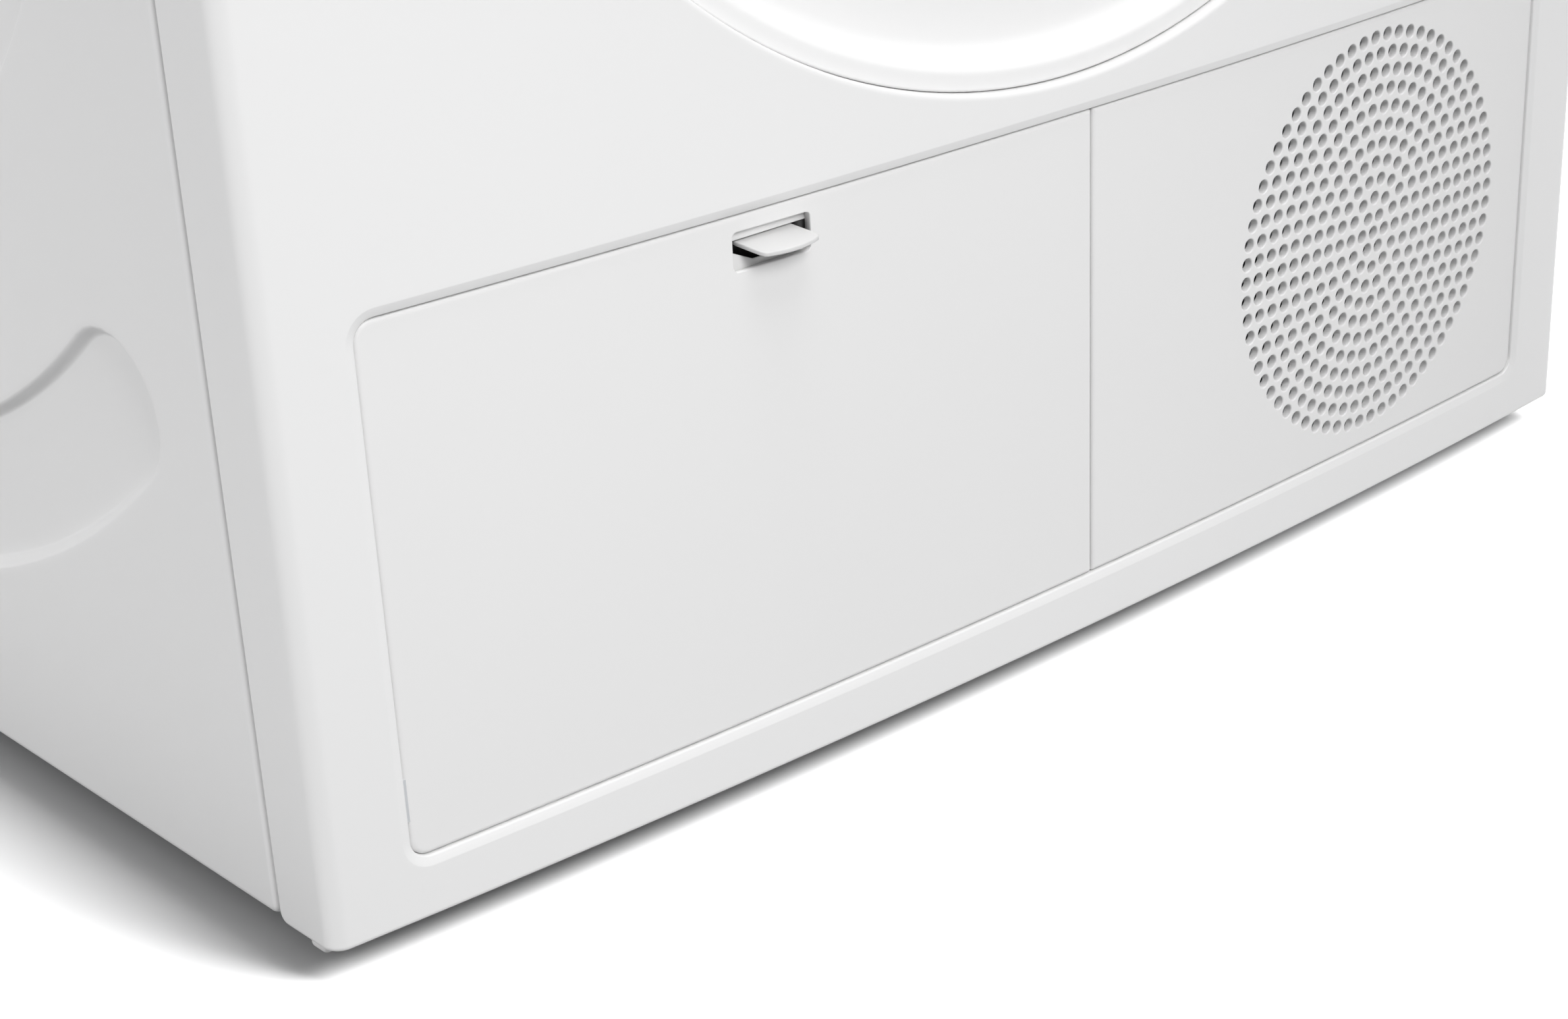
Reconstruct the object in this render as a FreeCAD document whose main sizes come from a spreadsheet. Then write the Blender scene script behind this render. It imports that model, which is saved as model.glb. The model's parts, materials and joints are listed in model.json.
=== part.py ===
"""A free-standing heat pump clothes dryer, as an assembly of separate parts.

Frame: millimetres, +Z up, +X to the right as seen from the front, +Y towards the back.
The origin is on the floor, under the middle of the machine.
"""

import FreeCAD
import Part
import math
import os

import Sketcher

Vector = FreeCAD.Vector
Rotation = FreeCAD.Rotation

doc = FreeCAD.newDocument("clothes_dryer")
sheet = doc.addObject("Spreadsheet::Sheet", "dims")

# Driving dimensions. Places along Y and Z are measured from the origin.
DIMENSIONS = {
    "cabinet_width": 596,
    "cabinet_height": 849,
    "front_face": -298,       # foremost line of the bowed front, at the middle of the machine
    "bow_sagitta": 10.85,     # how far the front falls back at the two side edges
    "front_wrap_end": -258.9, # where the front panel's side wrap ends
    "side_start": -258.3,
    "rear_face": 282,
    "pod_face": 320,
    "metal": 1.2,             # sheet thickness
    "panel_bottom": 11,
    "side_bottom": 12.1,
    "panel_top": 713,
    "control_bottom": 715,
    "control_top": 813,
    "worktop_bottom": 815,
    "board_thickness": 18,
    "corner_radius": 6,
    # Door and loading port
    "door_height": 449.5,
    "door_opening_radius": 240,
    "door_radius": 238.6,
    "door_recess": 3.8,
    "dish_depth": 10,
    "dish_rim": 7,
    "dish_slope": 16,
    "door_back": -268,
    "port_height": 457,
    "port_radius": 170,
    "hinge_across": 243.5,
    "hinge_depth": -287,
    # Drum and drive
    "drum_height": 487,
    "drum_radius": 275,
    "drum_front": -236,
    "drum_rear": 257,
    "drum_port_radius": 219,
    "felt_radius": 213,
    "roller_radius": 25,
    "roller_angle": 38,
    "belt_front": 58,
    "belt_width": 12,
    "belt_thickness": 2,
    "motor_across": 205,
    "motor_height": 150,
    "pulley_radius": 10,
    "idler_across": 112,
    "idler_height": 174,
    "idler_radius": 14,
    # Lower recess with the service flap and the air grille
    "recess_left": -265.1,
    "recess_right": 265.8,
    "recess_bottom": 30.6,
    "recess_top": 199.2,
    "recess_gap": 0.7,
    "recess_depth": 1.4,
    "recess_corner": 6,
    "seam_across": 10.5,
    "seam_gap": 0.6,
    "flap_skin": 2.5,
    "flap_pivot_depth": -284,
    "flap_pivot_height": 51,
    "grille_across": 165.85,
    "grille_height": 116,
    "grille_pitch": 6.795,
    "grille_hole": 4.4,
    "grille_rings": 11,
    "latch_across": -126.4,
    "latch_height": 187.2,
    # Side embossing
    "emboss_depth": 4,
    "emboss_along": 11.5,
    "emboss_height": 418.5,
    "emboss_disc": 246,
    "emboss_arc": 338,
    "emboss_arc_half": 22.3,
    "emboss_arc_angle": 80,
    # Controls
    "knob_height": 764,
    "knob_radius": 31,
    "knob_face": -320,
    "tank_left": -283,
    "tank_right": -118,
    "tank_bottom": 744,
    "tank_top": 804,
    "tank_back": 150,
    # Feet
    "peg_across": 288,
    "peg_depth": -267,
    "peg_radius": 1.8,
    "foot_across": 250,
    "foot_front": -232,
    "foot_rear": 240,
    "foot_radius": 20,
    "foot_stud": 4,
}
# Places across and up, and radius
BUTTONS = {"power_button": (-64, 11), "start_button": (250, 15)}
LEVERS = {"left_filter_lever": (-248, 127), "right_filter_lever": (-32, 127)}
IDLER_PIVOT = (158.0, 226.0)
COMPRESSOR_PLACE = (172, -150)
DRAIN_PLACE = (-238, 742)
CORD_PLACE = (-230, 110)
# Low and high places
GRIP = {"x": (-229, -209), "half_height": 42, "back": -271}
FILTER_SLOT = {"x": (-78, 78), "y": (-258, -242)}
FILTER_DUCT = {"x": (-84, 84), "y": (-262, -238)}

for row, (alias, number) in enumerate(DIMENSIONS.items(), 1):
    sheet.set(f"A{row}", alias)
    sheet.set(f"B{row}", str(number))
    sheet.setAlias(f"B{row}", alias)
doc.recompute()


class Size:
    """A length that carries its number and the spreadsheet formula that it comes from."""

    def __init__(self, number, formula):
        self.number = number
        self.formula = formula

    def joined(self, sign, other, number):
        return Size(number, f"({self.formula} {sign} {other.formula})")

    def __add__(self, other):
        other = size(other)
        return self.joined("+", other, self.number + other.number)

    def __sub__(self, other):
        other = size(other)
        return self.joined("-", other, self.number - other.number)

    def __mul__(self, other):
        other = size(other)
        return self.joined("*", other, self.number * other.number)

    def __truediv__(self, other):
        other = size(other)
        return self.joined("/", other, self.number / other.number)

    def __radd__(self, other):
        return size(other) + self

    def __rsub__(self, other):
        return size(other) - self

    def __rmul__(self, other):
        return size(other) * self

    def __neg__(self):
        return self * -1


def size(thing):
    """Any number or Size, as a Size."""
    if isinstance(thing, Size):
        return thing
    return Size(float(thing), f"({float(thing):.6f})")


def dim(alias):
    return Size(float(DIMENSIONS[alias]), f"dims.{alias}")


def bind(item, prop, amount):
    item.setExpression(prop, size(amount).formula)


# ---------------------------------------------------------------- building blocks

NODES = []
AXIS_TURNS = {
    "x": Rotation(Vector(0, 1, 0), 90),
    "y": Rotation(Vector(1, 0, 0), -90),
    "z": Rotation(),
}


def move(item, x, y, z):
    bind(item, "Placement.Base.x", x)
    bind(item, "Placement.Base.y", y)
    bind(item, "Placement.Base.z", z)
    return item


def node(item, label):
    """Marks a finished sub-part. Its label is the name of its file."""
    item.Label = label
    NODES.append(item)
    return item


def box(x, y, z):
    """A block between the low and high place on each axis."""
    item = doc.addObject("Part::Box", "block")
    for prop, (low, high) in (("Length", x), ("Width", y), ("Height", z)):
        bind(item, prop, size(high) - low)
    return move(item, x[0], y[0], z[0])


def centred(x, y, z):
    """A block given by (middle, width) on each axis."""
    spans = []
    for middle, width in (x, y, z):
        half = size(width) / 2
        spans.append((middle - half, middle + half))
    return box(*spans)


def along(axis, centre, span):
    """The low end of a round part: centre is its two other coordinates, in X, Y, Z order."""
    places = list(centre)
    places.insert("xyz".index(axis), span[0])
    return places


def rod(axis, centre, radius, span, angle=360, turn=0):
    """A cylinder along an axis. With an angle it is a sector that starts at turn."""
    item = doc.addObject("Part::Cylinder", "rod")
    bind(item, "Radius", radius)
    bind(item, "Height", size(span[1]) - span[0])
    bind(item, "Angle", angle)
    item.Placement.Rotation = AXIS_TURNS[axis].multiply(Rotation(Vector(0, 0, 1), turn))
    return move(item, *along(axis, centre, span))


def taper(axis, centre, radius_low, radius_high, span):
    item = doc.addObject("Part::Cone", "taper")
    bind(item, "Radius1", radius_low)
    bind(item, "Radius2", radius_high)
    bind(item, "Height", size(span[1]) - span[0])
    item.Placement.Rotation = AXIS_TURNS[axis]
    return move(item, *along(axis, centre, span))


def fuse(*items):
    if len(items) == 1:
        return items[0]
    item = doc.addObject("Part::MultiFuse", "fuse")
    item.Shapes = list(items)
    return item


def common(*items):
    item = doc.addObject("Part::MultiCommon", "common")
    item.Shapes = list(items)
    return item


def cut(base, *tools):
    item = doc.addObject("Part::Cut", "cut")
    item.Base = base
    item.Tool = fuse(*tools)
    return item


def ring(axis, centre, inner, outer, span):
    through = (span[0] - size(1), span[1] + size(1))
    return cut(rod(axis, centre, outer, span), rod(axis, centre, inner, through))


def group(*items):
    """Several separate solids in one sub-part."""
    item = doc.addObject("Part::Compound", "group")
    item.Links = list(items)
    return item


def rounded(item, radius, test):
    """Rounds the edges whose middle point passes the test."""
    doc.recompute()
    edges = []
    for index, edge in enumerate(item.Shape.Edges, 1):
        middle = edge.valueAt((edge.FirstParameter + edge.LastParameter) / 2)
        if test(edge, middle):
            edges.append((index, radius, radius))
    fillet = doc.addObject("Part::Fillet", "fillet")
    fillet.Base = item
    fillet.Edges = edges
    return fillet


def runs(edge, axis):
    """Whether an edge is a straight run along an axis."""
    if edge.Curve.TypeId != "Part::GeomLine":
        return False
    direction = edge.Curve.Direction
    return abs(getattr(direction, axis)) > 0.999


def plane_of(body, role):
    return [feature for feature in body.Origin.OriginFeatures if feature.Role == role][0]


def sketch(body, plane, outline):
    """A closed sketch of straight lines, each corner held at its own two sizes."""
    item = body.newObject("Sketcher::SketchObject", "sketch")
    item.AttachmentSupport = [(plane_of(body, plane), "")]
    item.MapMode = "FlatFace"
    corners = [(size(a), size(b)) for a, b in outline]
    points = [Vector(a.number, b.number, 0) for a, b in corners]
    count = len(points)
    for i in range(count):
        item.addGeometry(Part.LineSegment(points[i], points[(i + 1) % count]), False)
    for i in range(count):
        item.addConstraint(Sketcher.Constraint("Coincident", i, 2, (i + 1) % count, 1))
    for i, corner in enumerate(corners):
        for kind, place in zip(("DistanceX", "DistanceY"), corner):
            index = item.addConstraint(Sketcher.Constraint(kind, -1, 1, i, 1, place.number))
            item.setExpression(f"Constraints[{index}]", place.formula)
    return item


TURNING = {"x": ("XZ_Plane", "H_Axis"), "y": ("YZ_Plane", "H_Axis"), "z": ("XZ_Plane", "V_Axis")}


def turned(axis, centre, profile):
    """A PartDesign body turned about an axis. The profile lists (place along the axis, radius)."""
    body = doc.addObject("PartDesign::Body", "turned")
    plane, reference = TURNING[axis]
    outline = [(b, a) if axis == "z" else (a, b) for a, b in profile]
    profile_sketch = sketch(body, plane, outline)
    feature = body.newObject("PartDesign::Revolution", "revolution")
    feature.Profile = profile_sketch
    feature.ReferenceAxis = (profile_sketch, [reference])
    feature.Angle = 360
    body.Tip = feature
    return move(body, *along(axis, centre, (0, 0)))


def solid_feature(shape):
    """A sub-part whose shape comes straight from geometry functions."""
    item = doc.addObject("Part::Feature", "shaped")
    item.Shape = shape
    return item


def tube_path(points, bend):
    """A wire of straight runs with an arc of the same bend radius at every inner point."""
    edges = []
    start = points[0]
    for before, corner, after in zip(points, points[1:], points[2:]):
        back = (before - corner).normalize()
        ahead = (after - corner).normalize()
        half = back.getAngle(ahead) / 2
        reach = bend / math.tan(half)
        middle = (back + ahead).normalize()
        centre = corner + middle * (bend / math.sin(half))
        enter, leave = corner + back * reach, corner + ahead * reach
        edges.append(Part.LineSegment(start, enter).toShape())
        edges.append(Part.Arc(enter, centre - middle * bend, leave).toShape())
        start = leave
    edges.append(Part.LineSegment(start, points[-1]).toShape())
    return Part.Wire(edges)


def tube(points, radius, bend):
    path = tube_path(points, bend)
    direction = (points[1] - points[0]).normalize()
    section = Part.Wire(Part.Circle(points[0], direction, radius).toShape())
    return path.makePipeShell([section], True, False)


# ---------------------------------------------------------------- shared sizes

half_width = dim("cabinet_width") / 2
front = dim("front_face")
metal = dim("metal")
sagitta = dim("bow_sagitta")
bow_radius = (half_width * half_width + sagitta * sagitta) / (2 * sagitta)
drum_centre = (size(0), dim("drum_height"))
port_centre = (size(0), dim("port_height"))
door_centre = (size(0), dim("door_height"))
hinge_centre = (dim("hinge_across"), dim("hinge_depth"))


def bow(depth):
    """Everything behind the bowed front surface, moved back by depth."""
    return rod("z", (0, front + bow_radius), bow_radius - depth, (-10, dim("cabinet_height") + 10))


def bowed_block(x, back, z, depth):
    """A block from the bowed front, moved back by depth, to a flat back."""
    return common(box(x, (front - 5, back), z), bow(depth))


def bow_fall(across):
    """How far the bowed front lies behind its foremost line at a place across the machine."""
    across = size(across)
    return across * across / (2 * bow_radius)


# ---------------------------------------------------------------- cabinet skins

def bent_front(z, back):
    """A bowed front sheet that wraps round both vertical corners, with a top and a bottom flange."""
    within = half_width - metal
    radius = dim("corner_radius")
    outer = bowed_block((-half_width, half_width), back, z, 0)
    inner = bowed_block((-within, within), back + 1, (z[0] + metal, z[1] - metal), metal)
    return cut(
        rounded(outer, radius.number, front_corner),
        rounded(inner, (radius - metal).number, front_corner),
    )


def front_corner(edge, middle):
    """Whether an edge is one of the front's two vertical corners."""
    return runs(edge, "z") and middle.y < -270


def front_panel():
    shell = bent_front((dim("panel_bottom"), dim("panel_top")), dim("front_wrap_end"))
    opening = dim("door_opening_radius")
    lip = cut(
        common(rod("y", door_centre, opening + metal, (front - 5, -280)), bow(0.6)),
        rod("y", door_centre, opening, (front - 6, -279)),
    )
    hole = rod("y", door_centre, opening, (front - 6, -270))
    recess_across = (dim("recess_left"), dim("recess_right"))
    recess_up = (dim("recess_bottom"), dim("recess_top"))
    window = rounded(
        box(recess_across, (front - 5, -280), recess_up),
        (dim("recess_corner") + dim("recess_gap")).number,
        lambda edge, middle: runs(edge, "y"),
    )
    height, notch = dim("door_height"), 48
    hinge_notch = box((230, dim("hinge_across") + 5.5), (front - 5, -275), (height - notch, height + notch))
    peg_holes = []
    for side in (-1, 1):
        place = (side * dim("peg_across"), dim("peg_depth"))
        peg_holes.append(rod("z", place, dim("peg_radius") + 0.4, (5, 15)))
    return cut(fuse(cut(shell, hole), lip), window, hinge_notch, *peg_holes)


def embossed_arc(span, middle_angle, grow):
    """A block between two places across, whose outline is an arc-shaped slot with round ends."""
    centre = Vector(0, dim("emboss_along").number, dim("emboss_height").number)
    radius = dim("emboss_arc").number
    half = dim("emboss_arc_half").number + size(grow).number
    spread = dim("emboss_arc_angle").number / 2

    def at(reach, angle):
        radians = math.radians(middle_angle + angle)
        return centre + Vector(0, math.cos(radians), math.sin(radians)) * reach

    far, near = radius + half, radius - half
    ahead, behind = (round_end(at, radius, spread, half, side) for side in (1, -1))
    outline = Part.Wire([
        Part.Arc(at(far, -spread), at(far, 0), at(far, spread)).toShape(),
        Part.Arc(at(far, spread), ahead, at(near, spread)).toShape(),
        Part.Arc(at(near, spread), at(near, 0), at(near, -spread)).toShape(),
        Part.Arc(at(near, -spread), behind, at(far, -spread)).toShape(),
    ])
    low, high = size(span[0]).number, size(span[1]).number
    face = Part.Face(outline)
    face.translate(Vector(low, 0, 0))
    return solid_feature(face.extrude(Vector(high - low, 0, 0)))


def round_end(at, radius, spread, half, side):
    """The furthest point of the arc-shaped slot's round end on one side."""
    end = at(radius, side * spread)
    ahead = (at(radius, side * (spread + 1)) - at(radius, side * (spread - 1))).normalize()
    return end + ahead * half


def side_panel(side):
    """A side sheet with folded edges, an embossed disc and an embossed arc above and below it."""
    bottom, top = dim("side_bottom"), dim("worktop_bottom")
    start, end = dim("side_start"), dim("rear_face")
    face = mirrored(side, (half_width - metal, half_width))
    boss = mirrored(side, (half_width - metal - dim("emboss_depth"), half_width - metal / 2))
    recess = mirrored(side, (half_width - dim("emboss_depth"), half_width + 2))
    fold = mirrored(side, (half_width - 13, half_width))
    centre = (dim("emboss_along"), dim("emboss_height"))
    sheet_face = box(face, (start, end), (bottom, top))
    folds = [
        box(fold, (start, start + metal), (bottom, top)),
        box(fold, (end - metal, end), (bottom, top)),
        box(fold, (start, end), (bottom, bottom + metal)),
        box(fold, (start, end), (top - metal, top)),
    ]

    def embossing(span, grow):
        """The disc and both arcs, as solids that are larger by grow all round."""
        arcs = [embossed_arc(span, middle, grow) for middle in (-90, 90)]
        return [rod("x", centre, dim("emboss_disc") + grow, span), *arcs]

    return cut(fuse(sheet_face, *folds, *embossing(boss, metal)), *embossing(recess, size(0)))


def rear_panel():
    back = dim("rear_face")
    inside = half_width - metal - 0.1
    up = (dim("side_bottom") + 2, dim("worktop_bottom") - 2)
    plate = box((-inside, inside), (back - 2 * metal, back - metal), up)
    through = (back - 5, back + 5)
    air_ring = 140
    openings = [rod("y", drum_centre, 14, through)]
    for index in range(8):
        angle = math.radians(index * 45)
        place = (size(air_ring * math.cos(angle)), dim("drum_height") + air_ring * math.sin(angle))
        openings.append(rod("y", place, 34, through))
    openings.append(rod("y", motor_place(), 40, through))
    openings += [rod("y", place, 9.2, through) for place in (DRAIN_PLACE, CORD_PLACE)]
    return cut(plate, *openings)


def rear_cover():
    """The duct cover on the back: a round pod over the drum's back with a tail down to the blower."""
    back, face = dim("rear_face") - metal, dim("pod_face")
    wall = size(1.5)

    def pod(grow, low, high):
        disc = rod("y", drum_centre, 205 + grow, (low, high))
        tail = box((-60 - grow, 262 + grow), (low, high), (70 - grow, dim("drum_height")))
        corner = rod("y", (57, 487), 205 + grow, (low, high))
        return fuse(disc, tail, corner)

    flange = pod(size(10), back, back + wall)
    edge_radius = 12
    shell = rounded(pod(size(0), back, face), edge_radius, lambda edge, middle: middle.y > face.number - 0.01)
    inner_face = face - wall
    inside = rounded(pod(-wall, back - 1, inner_face), edge_radius - wall.number,
                     lambda edge, middle: middle.y > inner_face.number - 0.01)
    return cut(fuse(flange, shell), inside)


def worktop_frame():
    bottom, top = dim("worktop_bottom"), dim("cabinet_height")
    outer = rounded(
        bowed_block((-half_width, half_width), dim("rear_face") + 4, (bottom, top), 0),
        dim("corner_radius").number,
        lambda edge, middle: runs(edge, "z"),
    )
    softened = rounded(outer, 2.5, lambda edge, middle: abs(middle.z - top.number) < 0.01)
    inner = box((-284, 284), (-270, 270), (top - dim("board_thickness"), top + 1))
    under = box((-270, 270), (-250, 250), (bottom - 1, top))
    return cut(softened, inner, under)


def worktop_board():
    top = dim("cabinet_height")
    return box((-283.8, 283.8), (-269.8, 269.8), (top - dim("board_thickness"), top))


def mirrored(side, span):
    """Two distances from the machine's middle, as a low and a high place on that side of it."""
    near, far = span
    return (size(near), size(far)) if side > 0 else (-size(far), -size(near))


def base_tray():
    """A moulded tray with foot bosses, cross ribs and two locating pegs under its front corners."""
    bottom = size(15)
    half = size(284)
    tray = cut(
        box((-half, half), (-254, 276), (bottom, 60)),
        box((-half + 4, half - 4), (-250, 272), (bottom + 4, 61)),
    )
    ribs = [box((-half + 2, half - 2), (y, y + 3), (bottom + 2, 40)) for y in (-140, -40, 110)]
    feet = [(side * dim("foot_across"), y) for side in (-1, 1) for y in (dim("foot_front"), dim("foot_rear"))]
    bosses = [rod("z", place, 10, (bottom, 46)) for place in feet]
    bores = [rod("z", place, dim("foot_stud") + 0.08, (bottom - 1, 47)) for place in feet]
    pegs = []
    for side in (-1, 1):
        for x, y in (((276, 290), (-270, -262)), ((276, 284), (-270, -250))):
            pegs.append(box(mirrored(side, x), y, (bottom, 19)))
        pegs.append(rod("z", (side * dim("peg_across"), dim("peg_depth")), dim("peg_radius"), (7, 17)))
    return cut(fuse(tray, *ribs, *bosses, *pegs), *bores)


def upper_frame():
    """The front and rear cross rails, and the trough that the water tank slides in."""
    top = dim("worktop_bottom") - 2
    rails = []
    for low, high, tall in ((-256, -236, 8), (254, 278, 12)):
        outer = box((-284, 284), (low, high), (top - tall, top))
        inner = box((-270, 270), (low + 3, high - 3), (top - tall - 1, top - 2))
        rails.append(cut(outer, inner))
    left, right, bottom = dim("tank_left"), dim("tank_right"), dim("tank_bottom")
    floor = bottom - 3.5
    trough = cut(
        box((left - 3, right + 2), (-235, 256), (floor, bottom + 20)),
        box((left - 1, right + 0.5), (-236, 254), (floor + 2, bottom + 21)),
    )
    return group(*rails, trough)


# ---------------------------------------------------------------- control panel

def tank_front_block(clearance, back, depth):
    """The drawer front's outline in the control panel."""
    left, right = -284 - clearance, -104 + clearance
    return rounded(
        bowed_block((left, right), back, (722 - clearance, 808 + clearance), depth),
        4 + clearance,
        lambda edge, middle: runs(edge, "y"),
    )


def control_panel():
    bottom, top = dim("control_bottom"), dim("control_top")
    back = dim("front_wrap_end")
    thick = size(2.5)
    outer = rounded(
        bowed_block((-half_width, half_width), back, (bottom, top), 0),
        dim("corner_radius").number,
        front_corner,
    )
    within = half_width - thick
    inner = bowed_block((-within, within), back + 1, (bottom + thick, top - thick), thick)
    height = dim("knob_height")
    holes = [
        rod("y", (0, height), 9, (front - 5, -285)),
        box((62, 198), (front - 5, -285), (738, 790)),
        box((-284.8, -103.2), (front - 5, -280), (721.2, 808.8)),
    ]
    for across, radius in BUTTONS.values():
        holes.append(rod("y", (across, height), radius + 0.6, (front - 5, -280)))
    return cut(outer, inner, *holes)


def display_window():
    return bowed_block((62.2, 197.8), -292, (738.2, 789.8), 0.4)


def control_board():
    """A circuit board on its carrier, with a display block, a switch and a few components."""
    carrier = box((36, 284), (-266, -264), (722, 806))
    display = box((66, 194), (-286, -266), (742, 786))
    switch = centred((236, 12), (-272, 12), (dim("knob_height"), 12))
    chips = [centred((x, 16), (-262.5, 3), (760, 16)) for x in (80, 120, 210)]
    coils = [rod("y", (x, 784), 7, (-264, -250)) for x in (100, 150)]
    return fuse(carrier, display, switch, *chips, *coils)


def program_knob():
    face = dim("knob_face")
    radius = dim("knob_radius")
    body = turned("y", (0, dim("knob_height")), [
        (face, 0), (face, radius - 3), (face + 2, radius - 0.8), (-298.6, radius),
        (-298.6, radius - 3), (face + 3, radius - 4), (face + 3, 6), (-284, 6), (-284, 0),
    ])
    grips = []
    for index in range(30):
        angle = math.radians(index * 12)
        reach = radius + 0.55
        place = (reach * math.cos(angle), dim("knob_height") + reach * math.sin(angle))
        grips.append(rod("y", place, 1.2, (face + 3.5, -298)))
    return cut(body, *grips)


def push_button(across, radius):
    depth = bow_fall(across)
    face = front + depth - 0.8
    return turned("y", (across, dim("knob_height")), [
        (face, 0), (face, radius - 1), (face + 1, radius), (face + 8, radius),
        (face + 8, 3), (face + 15, 3), (face + 15, 0),
    ])


# ---------------------------------------------------------------- water tank

def water_tank():
    left, right = dim("tank_left"), dim("tank_right")
    bottom, top = dim("tank_bottom"), dim("tank_top")
    wall = size(2)
    outer = rounded(
        box((left, right), (-276, dim("tank_back")), (bottom, top)),
        6,
        lambda edge, middle: runs(edge, "y") and middle.z < 760,
    )
    cavity = box((left + wall, right - wall), (-274, dim("tank_back") - wall), (bottom + wall, top + 1))
    return cut(outer, cavity)


def water_tank_front():
    """The bowed drawer front, hollow behind, with a finger recess that is undercut at its top."""
    shell = tank_front_block(0, -276, 0)
    hollow = bowed_block((-281, -107), -275, (725, 805), 3)
    grip_wall = bowed_block((-232, -156), -278, (726, 764), 0.5)
    grip = box((-230, -158), (-305, -280), (728, 752))
    undercut = box((-230, -158), (-288, -280), (750, 762))
    return cut(fuse(cut(shell, hollow), grip_wall), grip, undercut)


# ---------------------------------------------------------------- door

def dish(grow):
    """The hollow of the concave door: a tapered round void whose floor follows the bowed front."""
    rim = dim("door_radius") - dim("dish_rim") + grow
    slope = dim("dish_slope")
    depth = dim("door_recess") + dim("dish_depth")
    cone = taper("y", door_centre, rim + slope / 2, rim - slope * 1.2, (front - 5, front + depth + 12))
    return cut(cone, bow(depth + grow))


def door_outer_panel():
    wall = size(2)
    radius = dim("door_radius")
    recess = dim("door_recess")
    back = dim("door_back")
    outer = common(rod("y", door_centre, radius, (front - 5, back)), bow(recess))
    inner = common(rod("y", door_centre, radius - wall, (front - 5, back + 1)), bow(recess + wall))
    hollow = cut(inner, dish(wall))
    height = dim("door_height")
    low, high = height - GRIP["half_height"], height + GRIP["half_height"]
    left, right = GRIP["x"]
    floor = GRIP["back"] - 2
    grip_box = box((left - 5, right + 2), (-286, GRIP["back"]), (low - 2, high + 2))
    grip_void = box((left, right), (front - 5, floor), (low, high))
    undercut = box((left - 3, left + 1), (-283.5, floor), (low, high))
    hinge_notch = box((232.5, 245), (front - 6, -262), (height - 37, height + 37))
    return cut(fuse(cut(outer, dish(0), hollow), grip_box), grip_void, undercut, hinge_notch)


def door_inner_panel():
    back = dim("door_back")
    radius = dim("door_radius") - 2.2
    shell = turned("y", door_centre, [
        (back + 5.5, 0), (back + 5.5, 148), (back + 2, 162), (back + 2, radius),
        (back, radius), (back, 160), (back + 3.5, 146), (back + 3.5, 0),
    ])
    height = dim("door_height")
    hinge_room = box((225, 245), (back - 1, back + 3), (height - 37, height + 37))
    return cut(shell, hinge_room)


def door_hinge_arm():
    height = dim("door_height")
    knuckle = rod("z", hinge_centre, 3.2, (height - 35, height + 35))
    web = box((232.8, dim("hinge_across")), (-288, -284.5), (height - 35, height + 35))
    post = box((227.5, 236), (-285, -268.2), (height - 35, height + 35))
    foot = box((200, 229), (-271, -268.2), (height - 35, height + 35))
    bore = rod("z", hinge_centre, 2.05, (height - 36, height + 36))
    return cut(fuse(knuckle, web, post, foot), bore)


def door_hinge_pin():
    height = dim("door_height")
    low, neck, top = height - 45, height + 44, height + 46
    return turned("z", hinge_centre, [(low, 0), (low, 2), (neck, 2), (neck, 3), (top, 3), (top, 0)])


def door_hinge_bracket():
    height = dim("door_height")
    parts = [box((246.8, 282), (-284, -282), (height - 44, height + 44)),
             box((278, 282), (-284, -254), (height - 44, height + 44))]
    for low, high in ((36, 44), (-44, -36)):
        parts.append(box((240, 250), (-288.4, -282), (height + low, height + high)))
    return cut(fuse(*parts), rod("z", hinge_centre, 2, (height - 50, height + 50)))


def door_latch_hook():
    height = dim("door_height")
    plate = box((-226, -206), (-266, -264), (height - 16, height + 16))
    stem = box((-219, -215), (-265, -257), (height - 6, height + 6))
    tip = box((-222, -215), (-259.5, -257), (height - 6, height + 6))
    return fuse(plate, stem, tip)


def door_lock():
    height = dim("door_height")
    case = box((-240, -200), (-262, -254.1), (height - 30, height + 30))
    slot = box((-228, -209), (-263, -255.5), (height - 12, height + 12))
    return cut(case, slot)


# ---------------------------------------------------------------- bulkhead and drum

def front_bulkhead():
    """The moulding behind the front panel: loading port, drum ring and lint filter duct."""
    port = dim("port_radius")
    felt = dim("felt_radius")
    plate = box((-284, 284), (-254, -250), (215, 712))
    collar = rod("y", port_centre, port + 4, (-262, -230))
    drum_ring = ring("y", drum_centre, felt - 5, felt, (-250, -231))
    duct = box(FILTER_DUCT["x"], FILTER_DUCT["y"], (176, 312))
    duct_slot = box(FILTER_SLOT["x"], FILTER_SLOT["y"], (175, 320))
    port_void = rod("y", port_centre, port, (-270, -220))
    tank_room = box((dim("tank_left") - 2, dim("tank_right") + 2), (-260, -240), (739, 760))
    return cut(fuse(plate, collar, drum_ring, duct), port_void, duct_slot, tank_room)


def door_seal():
    radius = dim("port_radius")
    return turned("y", port_centre, [
        (-265.7, radius + 3), (-265.7, radius + 6), (-264.5, radius + 8.5), (-262, radius + 9),
        (-262, radius + 0.5), (-264.5, radius + 1),
    ])


def drum_felt_seal():
    felt = dim("felt_radius")
    return ring("y", drum_centre, felt, felt + 4.5, (-237.7, -231.5))


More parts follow.
